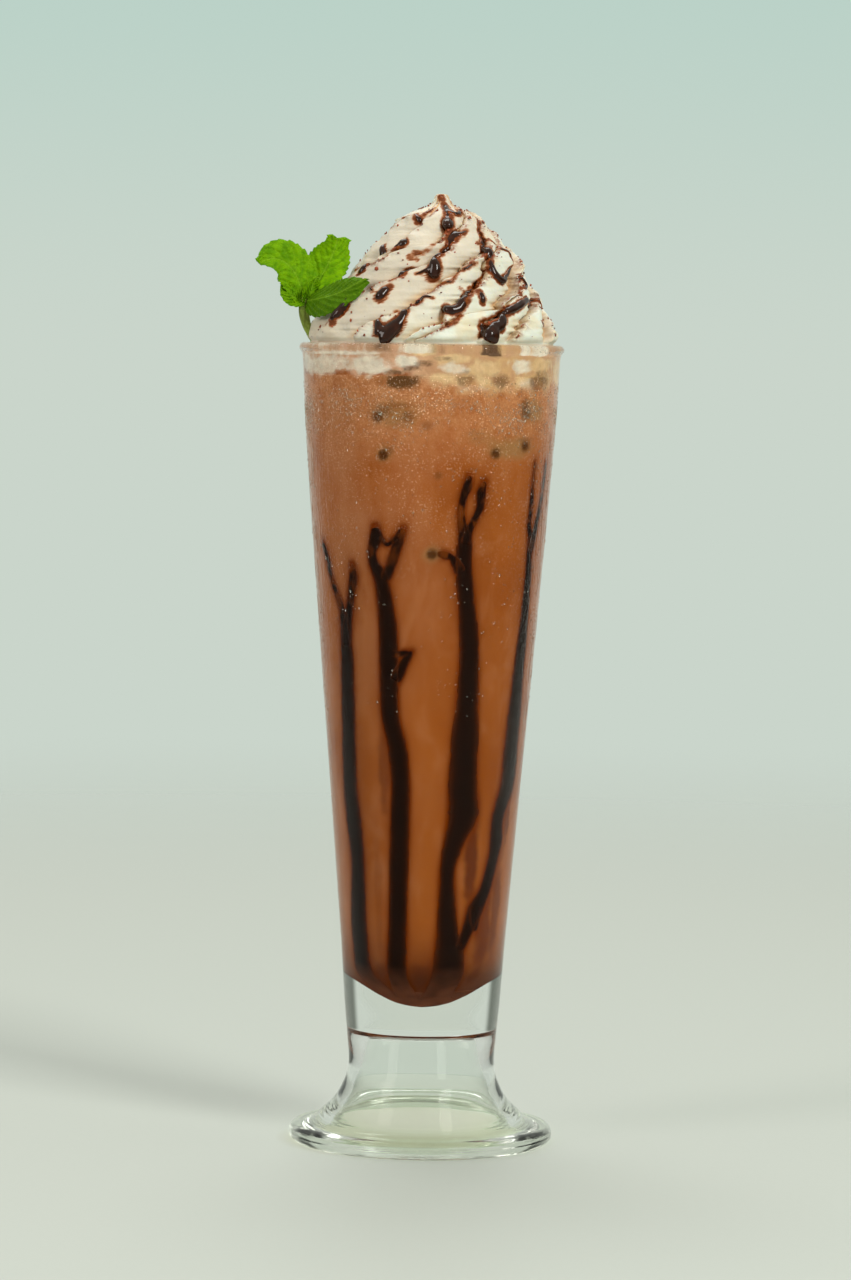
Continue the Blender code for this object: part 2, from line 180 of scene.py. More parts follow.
# The same colour a little darker
def darker(colour, share):
    return tuple(c * share for c in colour[:3]) + (1.0,)


def newMaterial(name, roughness=0.5, ior=1.45):
    material = bpy.data.materials.new(name)
    material.use_nodes = True
    shader = material.node_tree.nodes["Principled BSDF"]
    shader.inputs["Roughness"].default_value = roughness
    shader.inputs["IOR"].default_value = ior
    return material, material.node_tree, shader


# A socket takes a link or a plain value
def feed(tree, socket, value):
    if isinstance(value, bpy.types.NodeSocket):
        tree.links.new(value, socket)
    else:
        socket.default_value = value


def addNode(tree, kind, inputs=None, **settings):
    node = tree.nodes.new(kind)
    for key, value in settings.items():
        setattr(node, key, value)
    for key, value in (inputs or {}).items():
        feed(tree, node.inputs[key], value)
    return node


def mixColour(tree, factor, first, second):
    node = addNode(tree, "ShaderNodeMix", data_type="RGBA")
    for slot, value in ((0, factor), (6, first), (7, second)):  # the factor and the two colour sockets
        feed(tree, node.inputs[slot], value)
    return node.outputs[2]


def maths(tree, operation, first, second=0.0):
    return addNode(tree, "ShaderNodeMath", {0: first, 1: second}, operation=operation).outputs[0]


def times(tree, first, second):
    return maths(tree, "MULTIPLY", first, second)


def plus(tree, first, second):
    return maths(tree, "ADD", first, second)


# A mask with its edge broken up by a pattern
def frayed(tree, mask, pattern, amount):
    return plus(tree, mask, times(tree, maths(tree, "SUBTRACT", pattern, 0.5), amount))


# 0 to 1, or low to high, while the value goes from start to end
def ramp(tree, value, start, end, low=0.0, high=1.0, smooth=False):
    inputs = {"Value": value, "From Min": start, "From Max": end, "To Min": low, "To Max": high}
    kind = "SMOOTHSTEP" if smooth else "LINEAR"
    return addNode(tree, "ShaderNodeMapRange", inputs, interpolation_type=kind).outputs[0]


def objectHeight(tree):
    place = addNode(tree, "ShaderNodeTexCoord").outputs["Object"]
    return addNode(tree, "ShaderNodeSeparateXYZ", {"Vector": place}).outputs["Z"]


# A node group with named inputs and one output; gives the group and the sockets inside it
def newGroup(name, inputs, output, outputType):
    group = bpy.data.node_groups.new(name, "ShaderNodeTree")
    for label, value in inputs.items():
        kind = "NodeSocketFloat" if isinstance(value, float) else "NodeSocketColor"
        group.interface.new_socket(label, in_out="INPUT", socket_type=kind).default_value = value
    group.interface.new_socket(output, in_out="OUTPUT", socket_type=outputType)
    return group, addNode(group, "NodeGroupInput").outputs


def closeGroup(group, result):
    group.links.new(result, addNode(group, "NodeGroupOutput").inputs[0])
    return group


def placeGroup(tree, group, values):
    return addNode(tree, "ShaderNodeGroup", values, node_tree=group).outputs[0]


# Node group: a cloudy mask in object space, with its ends set by Low and High
def makeMottle():
    group, given = newGroup("mottle", {"Size mm": 5.0, "Stretch": 1.0, "Detail": 3.0, "Warp": 0.0, "Low": 0.3,
                                       "High": 0.7}, "Mask", "NodeSocketFloat")
    place = addNode(group, "ShaderNodeTexCoord").outputs["Object"]
    scale = maths(group, "DIVIDE", 1000.0, given["Size mm"])
    lift = maths(group, "DIVIDE", scale, given["Stretch"])
    stretch = addNode(group, "ShaderNodeCombineXYZ", {"X": scale, "Y": scale, "Z": lift}).outputs[0]
    mapped = addNode(group, "ShaderNodeVectorMath", {0: place, 1: stretch}, operation="MULTIPLY").outputs[0]
    texture = addNode(group, "ShaderNodeTexNoise", {"Vector": mapped, "Scale": 1.0, "Detail": given["Detail"],
                                                    "Distortion": given["Warp"]}).outputs[0]
    return closeGroup(group, ramp(group, texture, given["Low"], given["High"], smooth=True))


mottleGroup = makeMottle()


def mottle(tree, size, low, high, detail=3.0, stretch=1.0, warp=0.0):
    return placeGroup(tree, mottleGroup, {"Size mm": size, "Stretch": stretch, "Detail": detail, "Warp": warp,
                                          "Low": low, "High": high})


def bump(tree, shader, height, distance, strength=1.0):
    inputs = {"Height": height, "Strength": strength, "Distance": distance * mm}
    tree.links.new(addNode(tree, "ShaderNodeBump", inputs).outputs[0], shader.inputs["Normal"])


# The three masks that paint() stored, as Red, Green and Blue
def masks(tree, name):
    layer = addNode(tree, "ShaderNodeVertexColor", layer_name=name)
    return addNode(tree, "ShaderNodeSeparateColor", {"Color": layer.outputs["Color"]}).outputs


# The floor, the sky that the eye sees, and the studio that the glass mirrors
stageLook = {
    "floor": (0.500, 0.525, 0.480), "shadowUnderGlass": (0.42, 0.42, 0.36, 1.0), "floorFade": (0.5, 1.4),
    "footprint": (0.036, 0.030), "reach": 1500, "rough": 0.55, "horizon": srgb(202, 213, 203),
    "zenith": srgb(184, 209, 199), "skyAt": (-0.01, 0.10), "around": srgb(204, 211, 201),
    "overhead": srgb(208, 212, 204), "overheadAt": (0.2, 0.5), "sides": (0.11, 0.125, 0.10, 1.0),
    "sidesAt": (0.68, 0.80), "sidesTop": (0.12, 0.45), "dim": (0.46, 0.48, 0.45, 1.0),
    "dimAt": (-0.9, -0.2), "aim": (0.0, 0.0, 0.15),
}


def floorMaterial():
    material, tree, shader = newMaterial("floorPaint", stageLook["rough"])
    place = addNode(tree, "ShaderNodeTexCoord").outputs["Object"]
    reach = addNode(tree, "ShaderNodeVectorMath", {0: place}, operation="LENGTH").outputs["Value"]
    tree.links.new(ramp(tree, reach, *stageLook["floorFade"], 1.0, 0.0, smooth=True), shader.inputs["Alpha"])
    grain = mottle(tree, 2.0, 0.2, 0.8)
    tone = mixColour(tree, grain, (*stageLook["floor"], 1.0), darker(stageLook["floor"], 0.985))
    # painted shadow: the floor is darker under the glass's foot
    tone = mixColour(tree, ramp(tree, reach, *stageLook["footprint"]), tone, stageLook["shadowUnderGlass"])
    tree.links.new(tone, shader.inputs["Base Color"])
    bump(tree, shader, grain, 0.01, 0.3)
    return material


def makeFloor():
    segments, rings, level = 96, 8, -0.02
    points = [Vector((-axisX, 0, level))]
    for r in range(rings):
        radius = stageLook["reach"] * ((r + 1) / rings) ** 1.5
        points += [at(360 * k / segments, radius, level) for k in range(segments)]
    faces = [(0, 1 + k, 1 + (k + 1) % segments) for k in range(segments)]
    for r in range(rings - 1):
        for k in range(segments):
            n = (k + 1) % segments
            inner, outer = 1 + r * segments, 1 + (r + 1) * segments
            faces.append((inner + k, outer + k, outer + n, inner + n))
    makeMesh("floor", points, faces, floorMaterial())


def makeWorld():
    world = bpy.data.worlds.new("studio")
    bpy.context.scene.world = world
    world.use_nodes = True
    tree = world.node_tree
    direction = addNode(tree, "ShaderNodeTexCoord").outputs["Generated"]
    parts = addNode(tree, "ShaderNodeSeparateXYZ", {"Vector": direction}).outputs
    rise = ramp(tree, parts["Z"], *stageLook["skyAt"], smooth=True)
    sky = mixColour(tree, rise, stageLook["horizon"], stageLook["zenith"])
    overhead = ramp(tree, parts["Z"], *stageLook["overheadAt"], smooth=True)
    studio = mixColour(tree, overhead, stageLook["around"], stageLook["overhead"])
    # low dark sides, which draw the outline of clear glass, and dimmer light from where the viewer is
    aside = ramp(tree, maths(tree, "ABSOLUTE", parts["X"]), *stageLook["sidesAt"], smooth=True)
    lower = ramp(tree, parts["Z"], *stageLook["sidesTop"], 1.0, 0.0, smooth=True)
    studio = mixColour(tree, times(tree, aside, lower), studio, stageLook["sides"])
    lit = ramp(tree, parts["Y"], *stageLook["dimAt"], smooth=True)
    studio = mixColour(tree, lit, stageLook["dim"], studio)
    eye = addNode(tree, "ShaderNodeLightPath").outputs["Is Camera Ray"]
    tree.links.new(mixColour(tree, eye, studio, sky), tree.nodes["Background"].inputs["Color"])
    tree.nodes["Background"].inputs["Strength"].default_value = 1.0


def areaLight(name, place, size, power, colour):
    lamp = bpy.data.lights.new(name, "AREA")
    lamp.shape, lamp.size, lamp.size_y = "RECTANGLE", size[0], size[1]
    lamp.energy, lamp.color = power, colour
    made = bpy.data.objects.new(name, lamp)
    bpy.context.scene.collection.objects.link(made)
    made.location = place
    made.rotation_euler = (Vector(stageLook["aim"]) - Vector(place)).to_track_quat("-Z", "Y").to_euler()
    made.visible_camera = False  # it lights and is mirrored, but isn't seen itself


# Each lamp's place, size, power and colour
lights = {
    "key": ((1.15, -1.35, 1.35), (0.55, 0.8), 28.0, (0.985, 0.995, 0.95)),
    "fill": ((-1.5, -1.0, 0.95), (0.6, 0.9), 11.0, (1.0, 0.94, 0.91)),
    "top": ((-0.15, 0.9, 1.8), (1.1, 0.8), 12.0, (0.99, 1.0, 0.99)),
}

camera = {"distance": 1.35, "height": 0.230, "pitch": 3.61, "roll": 0.85, "lens": 132.1, "sideways": -0.00055}


def makeCamera():
    data = bpy.data.cameras.new("camera")
    data.lens, data.sensor_width, data.sensor_fit = camera["lens"], 36.0, "AUTO"
    data.clip_start, data.clip_end = 0.05, 20.0
    made = bpy.data.objects.new("camera", data)
    bpy.context.scene.collection.objects.link(made)
    made.location = (axisX * mm + camera["sideways"], -camera["distance"], camera["height"])
    pitch = math.radians(camera["pitch"])
    made.rotation_euler = Vector((0, math.cos(pitch), -math.sin(pitch))).to_track_quat("-Z", "Y").to_euler()
    made.rotation_euler.rotate_axis("Z", math.radians(camera["roll"]))
    bpy.context.scene.camera = made


makeFloor()
makeWorld()
for name, row in lights.items():
    areaLight(name, *row)
makeCamera()
bpy.context.scene.view_settings.view_transform = "Standard"
print("stage made")

# The glass's colours and finish. footAt, plugAt and rippleAt are heights in metres, from and to;
# rays that have passed more faces than "deepest" go straight on.
glassLook = {
    "segments": 224, "tint": (0.938, 0.962, 0.934, 1.0), "foot": (0.76, 0.81, 0.68, 1.0),
    "shadow": (0.93, 0.935, 0.93, 1.0), "footShadow": (0.875, 0.885, 0.865, 1.0), "rough": 0.012,
    "footRough": 0.05, "gloss": (0.12, 0.12, 0.12, 1.0), "ringStep": 0.0009, "rings": 0.16,
    "footAt": (0.0075, 0.0045), "plugAt": (0.038, 0.030), "rippleAt": (0.050, 0.175), "deepest": 5.5,
}


def glassProfile():
    floor, knee = form["floor"], form["knee"]
    inside = [(0.0, floor)]
    inside += [(bowlRadius(z), z) for z in [floor + (knee - floor) * (k / 30) ** 1.7 for k in range(1, 31)]]
    inside += [(bowlRadius(z), z) for z in [knee + (228.0 - knee) * k / 30 for k in range(1, 31)]]
    rim = [(35.15, 229.0), (35.4, 229.55), (35.9, 229.9), (36.4, 230.0), (37.0, 229.9), (37.55, 229.6),
           (37.9, 229.1), (38.0, 228.6), (37.9, 228.1), (37.6, 227.6), (37.25, 227.2), (37.05, 226.8)]
    sides = [226.2 - (226.2 - 58.0) * k / 30 for k in range(31)]
    outside = [(between(form["outerWall"], z), z) for z in sides]
    outside += [(between(form["flare"], z), z) for z in [57.0 - (57.0 - 8.5) * k / 40 for k in range(1, 41)]]
    foot = [(29.4, 7.6), (30.1, 6.6), (30.9, 5.8), (32.0, 5.35), (34.0, 5.1), (35.6, 4.95), (36.7, 4.65),
            (37.4, 4.1), (37.8, 3.5), (37.95, 3.1), (37.72, 2.8), (37.95, 2.5), (38.0, 2.0), (37.85, 1.2),
            (37.4, 0.6), (36.7, 0.1), (35.8, 0.0), (34.8, 0.0), (34.3, 0.4), (33.5, 0.45), (33.0, 0.0),
            (30.6, 0.0), (29.8, 0.05)]
    hollow = [(between(form["hollow"], z), z) for z in [0.5 + 30.7 * (k / 24) ** 1.2 for k in range(25)]]
    hollow += [(15.4, 31.9), (14.9, 32.3), (14.0, 32.5), (7.0, 32.5), (0.0, form["hollowTop"])]
    return inside + rim + outside + foot + hollow


# Shadow rays and rays that are already deep go straight through, tinted
def letLightThrough(tree, shader, tint):
    clear = addNode(tree, "ShaderNodeBsdfTransparent", {"Color": tint})
    path = addNode(tree, "ShaderNodeLightPath").outputs
    deep = maths(tree, "GREATER_THAN", path["Ray Depth"], glassLook["deepest"])
    through = maths(tree, "MAXIMUM", path["Is Shadow Ray"], deep)
    mixed = addNode(tree, "ShaderNodeMixShader", {0: through, 1: shader.outputs[0], 2: clear.outputs[0]})
    tree.links.new(mixed.outputs[0], tree.nodes["Material Output"].inputs["Surface"])


def glassMaterial():
    material, tree, shader = newMaterial("clearGlass", glassLook["rough"], 1.5)
    shader.inputs["Transmission Weight"].default_value = 1.0
    shader.inputs["Specular Tint"].default_value = glassLook["gloss"]
    height = objectHeight(tree)
    foot = ramp(tree, height, *glassLook["footAt"])
    tone = mixColour(tree, mottle(tree, 30.0, 0.3, 0.7), glassLook["tint"], darker(glassLook["tint"], 0.99))
    tree.links.new(mixColour(tree, foot, tone, glassLook["foot"]), shader.inputs["Base Color"])
    blur = plus(tree, times(tree, foot, glassLook["footRough"]), glassLook["rough"])
    tree.links.new(blur, shader.inputs["Roughness"])
    upper = ramp(tree, height, *glassLook["rippleAt"])
    # the dewy part is uneven: long drips, fine beads and slow waves
    drips = times(tree, mottle(tree, 1.5, 0.25, 0.8, 2.0, 5.0, 0.7), upper)
    beads = times(tree, mottle(tree, 0.6, 0.56, 0.7, 1.0), times(tree, upper, upper))
    waves = times(tree, mottle(tree, 14.0, 0.2, 0.8, 1.0, 3.0), 0.25)
    rolled = plus(tree, waves, plus(tree, drips, times(tree, beads, 0.5)))
    # fine rings round the foot
    rings = maths(tree, "SINE", times(tree, height, 2 * math.pi / glassLook["ringStep"]))
    rolled = plus(tree, rolled, times(tree, times(tree, rings, foot), glassLook["rings"]))
    bump(tree, shader, rolled, 0.16, 0.6)
    plug = ramp(tree, height, *glassLook["plugAt"])
    letLightThrough(tree, shader, mixColour(tree, plug, glassLook["shadow"], glassLook["footShadow"]))
    return material


glass = turned("glassBody", glassProfile(), glassLook["segments"], glassMaterial())
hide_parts("glass")
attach(glass, "root")
print("glass made")

# Dew outside the wall: fine drops in a dense belt, fewer below, and trails that ran down.
dew = {
    "seed": 77, "belt": 6800, "beltAt": (210.5, 4.2), "beltTop": 219.5, "below": 3600, "trails": 100,
    "top": 217, "lowest": 96.0, "size": (0.11, 0.25), "large": 0.34, "trailLength": (2, 11),
    "trailWidth": (0.10, 0.20), "colour": srgb(236, 240, 234), "gloss": (0.9, 0.72, 0.55, 1.0),
    "shadow": (0.98, 0.98, 0.98, 1.0), "rough": 0.04,
}


def dewMaterial():
    material, tree, shader = newMaterial("dewWater", dew["rough"], 1.33)
    shader.inputs["Transmission Weight"].default_value = 1.0
    shader.inputs["Specular Tint"].default_value = dew["gloss"]
    tone = mixColour(tree, mottle(tree, 4.0, 0.3, 0.7), dew["colour"], darker(dew["colour"], 0.96))
    tree.links.new(tone, shader.inputs["Base Color"])
    bump(tree, shader, mottle(tree, 0.5, 0.2, 0.8), 0.01, 0.4)
    letLightThrough(tree, shader, dew["shadow"])
    return material


def makeDew():
    draw = random.Random(dew["seed"])
    points, faces = [], []

    # A low dome of two rings of five points and a tip, sunk a little into the wall
    def drop(angle, z, size, tall):
        start = len(points)
        for share, lift in ((1.0, -0.05), (0.78, 0.45), (0.0, 0.66)):
            for k in range(5 if share else 1):
                a = math.pi * 0.4 * k
                up = math.sin(a) * share * size * tall
                radius = between(form["outerWall"], z + up) + (lift * size if lift > 0 else lift)
                points.append(at(angle + math.degrees(math.cos(a) * share * size / radius), radius, z + up))
        faces.append(tuple(start + k for k in reversed(range(5))))
        for k in range(5):
            n = (k + 1) % 5
            faces.append((start + k, start + n, start + 5 + n, start + 5 + k))
            faces.append((start + 5 + k, start + 5 + n, start + 10))

    for _ in range(dew["belt"]):
        angle = draw.uniform(-180, 180)
        z = draw.gauss(*dew["beltAt"]) + 3.0 * noise.noise(at(angle, 9, 3))
        if z < dew["beltTop"] and noise.noise(at(angle, 30, z * 1.5) * 0.16) > draw.uniform(-0.3, 0.34):
            drop(angle, z, draw.uniform(*dew["size"]), draw.uniform(0.9, 1.3))
    for _ in range(dew["below"]):
        angle, z = draw.uniform(-180, 180), dew["top"] - 92 * draw.random() ** 1.35
        if noise.noise(at(angle, 30, z * 0.7) * 0.11) > draw.uniform(-0.25, 0.45):
            big = draw.random() ** 6 * dew["large"]
            drop(angle, z, draw.uniform(*dew["size"]) * 0.9 + big * 0.5, draw.uniform(1.0, 1.5))
    for _ in range(dew["trails"]):
        side = draw.choice((-1, 1))
        angle = side * draw.uniform(68, 90) if draw.random() < 0.5 else draw.uniform(100, 260)
        top = dew["top"] - 90 * draw.random() ** 1.2
        length, width = draw.uniform(*dew["trailLength"]), draw.uniform(*dew["trailWidth"])
        bottom, steps = max(dew["lowest"], top - length), 12
        start = len(points)
        for k in range(steps + 1):
            z = top + (bottom - top) * k / steps
            drift = noise.noise(Vector((top, z * 0.22, angle))) * 0.8
            drift += noise.noise(Vector((angle, z * 0.8, top))) * 0.25
            swell = math.sin(math.pi * min(1.0, 0.1 + 0.9 * k / steps)) ** 0.6
            fat = width * (0.35 + 0.65 * swell + 0.35 * (k == steps - 1))
            if k in (0, steps):
                fat *= 0.3
            wall = between(form["outerWall"], z)
            for across, lift in ((-1, -0.05), (-0.6, 0.18), (0, 0.26), (0.6, 0.18), (1, -0.05)):
                radius = wall + (lift * fat if lift > 0 else lift)
                points.append(at(angle + drift + math.degrees(across * fat / wall), radius, z))
        faces += tubeFaces(start, 5, steps + 1)
    made = makeMesh("dewDrops", points, faces, dewMaterial())
    faceOut(made)
    print("dew triangles", sum(len(f) - 2 for f in faces))
    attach(made, "root")


makeDew()
print("dew made")

# Syrup on the inside of the wall. Each run is a row of angle, height and width in mm, from its top down.
syrup = {
    "seed": 5, "thickness": 1.3, "backRuns": 3, "grip": 0.26, "poolGrip": 0.12, "poolAt": (0.0455, 0.0405),
    "rough": 0.35,
    "runs": (
        ((-68, 173, 1.5), (-64, 168.5, 2.2), (-61, 163, 1.9), (-53.5, 155, 2.6), (-52, 151, 3.8),
         (-51.5, 138, 5.2), (-55, 106, 5.8), (-54, 96, 6.1), (-52, 82, 5.4), (-55, 66, 6.1), (-55, 57, 6.4),
         (-58, 43, 6.6)),
        ((-43.5, 167.5, 1.5), (-43, 164.0, 2.9), (-44.8, 160, 2.5), (-47, 155, 2.9), (-49.6, 149.5, 3.6),
         (-51.2, 144, 4.2)),
        ((-28, 178.2, 2.4), (-27.8, 175.4, 3.8), (-30.2, 171.5, 2.4), (-29.5, 168.0, 3.0),
         (-25.5, 163.5, 4.2), (-22.5, 152, 5.0), (-22, 143, 5.6), (-22, 126, 5.3), (-17.7, 116, 5.3),
         (-15.8, 106, 5.1), (-16.3, 97, 5.3), (-17.6, 82, 5.0), (-19.6, 62, 5.2), (-22, 50, 5.4),
         (-25, 43, 6.0)),
        ((-13, 178.2, 1.6), (-15.6, 175.0, 3.0), (-17.6, 171, 2.6), (-20, 167.5, 2.8), (-23.5, 163.5, 3.2)),
        ((-25.5, 175.6, 1.6), (-22, 173.6, 1.2), (-19.5, 174.2, 1.2), (-17, 175.4, 1.8)),
        ((-20.0, 142.6, 2.4), (-16.5, 142.6, 2.0), (-13.4, 142.8, 1.8), (-10.8, 143.2, 1.4)),
        ((-8.6, 143.4, 1.0), (-10.6, 142.2, 2.0), (-14, 139.2, 2.6), (-18.5, 135.0, 3.6)),
        ((19.3, 193.2, 1.4), (18.7, 190.3, 2.7), (16.9, 187.4, 2.1), (16.0, 183.4, 1.9), (17, 179, 2.6),
         (18.5, 175, 3.8), (18.5, 168, 4.4), (21.6, 155, 4.9), (24, 145, 5.4), (24.5, 131, 6.5),
         (24.3, 107, 8.5), (26, 97, 9.1), (21, 90, 6.2), (16.6, 82, 4.3), (17, 72, 4.8), (18.5, 63, 6.0),
         (21, 56, 8.2), (22.5, 43, 7.6)),
        ((27.6, 191.6, 1.6), (26.0, 188.5, 3.0), (25.8, 184.5, 2.4), (23.5, 181.2, 2.0), (20.5, 178.0, 2.4),
         (18.8, 174, 3.2)),
        ((4.5, 171.3, 1.3), (8, 170.9, 2.2), (11.5, 170.3, 1.8), (14, 168.8, 2.6), (17, 166, 3.4)),
        ((60.5, 197, 0.9), (60, 190.8, 1.5), (60.5, 183.6, 2.0), (60, 179, 2.3), (62.5, 174, 3.0),
         (64.4, 155, 4.2), (63.7, 135, 6.0), (63.5, 115, 7.6), (63, 105, 7.6), (55.5, 96, 5.4),
         (55.5, 88, 5.2), (52.5, 81, 4.4), (48, 74.5, 4.4), (41, 69.5, 5.4), (35, 63.5, 3.8),
         (29, 58, 3.4)),
        ((73, 196.6, 1.4), (71, 186, 2.3), (66.5, 177, 2.8), (63.5, 171, 3.0)),
        ((41, 70, 4.4), (40.5, 67, 3.6), (42.0, 63.0, 1.4)),
    ),
    "dark": srgb(25, 9, 4), "edge": srgb(86, 36, 8), "pool": srgb(118, 68, 48), "meet": srgb(118, 66, 44),
    "thin": srgb(104, 48, 10), "streak": srgb(16, 7, 4),
}


# The runs above, and forked ones in between on the far side
def wallRuns():
    draw = random.Random(syrup["seed"])
    runs = list(syrup["runs"])
    for k in range(syrup["backRuns"]):
        angle = 116 + k * 60 + draw.uniform(-6, 6)
        top = draw.uniform(158, 198)
        sway = [draw.uniform(-5, 5) for _ in range(4)]
        runs.append(((angle + sway[0], top, 1.4), (angle + sway[1], top - 24, 3.8),
                     (angle + sway[2], 112, draw.uniform(5.0, 7.5)), (angle + sway[3], 76, 5.0),
                     (angle, 43, 6.4)))
        runs.append(((angle + 11, top - 6, 1.3), (angle + sway[1], top - 24, 2.2)))
    return runs


def syrupMaterial():
    material, tree, shader = newMaterial("wallSyrup", syrup["rough"], 1.45)
    shader.inputs["Specular IOR Level"].default_value = 0.0
    edge = masks(tree, "paint")
    tone = mixColour(tree, edge["Red"], syrup["dark"], syrup["edge"])
    patchy = times(tree, edge["Blue"], mottle(tree, 2.6, 0.46, 0.62, 3.0, 1.6))
    tone = mixColour(tree, patchy, tone, syrup["thin"])
    tone = mixColour(tree, edge["Green"], tone, syrup["meet"])
    tone = mixColour(tree, ramp(tree, objectHeight(tree), *syrup["poolAt"]), tone, syrup["pool"])
    tone = mixColour(tree, times(tree, mottle(tree, 4.0, 0.35, 0.8, 4.0, 2.5), 0.5), tone, syrup["streak"])
    tree.links.new(tone, shader.inputs["Base Color"])
    return material


def makeSyrup():
    points, faces, edges, pools, thins = [], [], [], [], []
    shares = [-1, -0.86, -0.62, -0.3, 0, 0.3, 0.62, 0.86, 1]
    for number, run in enumerate(wallRuns()):
        longest = max(abs(a[1] - b[1]) for a, b in zip(run, run[1:]))
        steps = max(8, round(longest / 1.1)) * (len(run) - 1)
        samples = along(run, steps)
        start = len(points)
        for k, (angle, z, width) in enumerate(samples):
            ahead, behind = samples[min(k + 1, steps)], samples[max(k - 1, 0)]
            radius = bowlRadius(z)
            onward = Vector((math.radians(ahead[0] - behind[0]) * radius, ahead[1] - behind[1])).normalized()
            # an uneven edge, and a narrow end where the run stops above the pool
            ragged = 1 + 0.16 * noise.noise(Vector((number * 7.3, z * 0.11, 0.4)))
            ragged += 0.12 * noise.noise(Vector((number, z * 0.6, 5)))
            taper = min(1.0, 0.5 + 0.25 * k, 0.6 + 0.25 * (steps - k) if z > form["poolLevel"] else 1.0)
            across = Vector((-onward.y, onward.x)) * width / 2 * ragged * taper
            depth = min(syrup["thickness"], 0.4 + 0.35 * width)
            # the face that sticks to the wall, then the rounded one towards the drink
            for share in shares:
                move = across * share
                outer = bowlRadius(z + move.y) + syrup["grip"]
                points.append(at(angle + math.degrees(move.x / radius), outer, z + move.y))
                edges.append(abs(share) ** 5)
                pools.append(0.9 * max(0.0, min(1.0, (53 - z) / 8)))
                thins.append(max(0.0, min(1.0, (3.3 - width) / 1.2)))
            for share in reversed(shares):
                move = across * share * 0.9
                inner = bowlRadius(z + move.y) - depth * (1 - share * share * 0.7)
                points.append(at(angle + math.degrees(move.x / radius), inner, z + move.y))
                edges.append(1.0)
                pools.append(0.0)
                thins.append(0.0)
        faces += tubeFaces(start, len(shares) * 2, steps + 1)
    runs = makeMesh("syrupRuns", points, faces, syrupMaterial())
    paint(runs, "paint", (edges, pools, thins))
    faceOut(runs)
    heights = [40.0] + [40.2 + 4.8 * (k / 14) ** 1.5 for k in range(15)]
    wall = [(bowlRadius(z) + syrup["poolGrip"], z) for z in heights]
    profile = [(0.0, heights[0])] + wall + [(0.0, form["poolLevel"])]
    pool = turned("syrupPool", profile, 96, runs.data.materials[0])
    paint(pool, "paint", ([0.3] * len(pool.data.vertices), [1.0] * len(pool.data.vertices)))
    for piece in (runs, pool):
        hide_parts("syrup")
        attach(piece, "root")


makeSyrup()
print("syrup made")

# The drink's colours; the piece reaches "grip" mm into the wall, so no air gap shows.
drink = {
    "columns": 400, "rows": 236, "grip": 0.12, "rough": 0.45, "brown": srgb(156, 85, 30),
    "deep": srgb(141, 70, 13), "milky": srgb(174, 110, 64), "halo": srgb(106, 42, 2),
    "haze": srgb(180, 120, 80), "ice": srgb(70, 42, 18), "murk": srgb(150, 112, 70),
    "shadow": srgb(88, 40, 20), "low": srgb(118, 66, 44), "frothAndGlints": srgb(240, 204, 168),
    "left": srgb(208, 164, 134), "right": srgb(202, 163, 114), "rim": srgb(186, 142, 106),
    "veil": srgb(198, 140, 96),
}
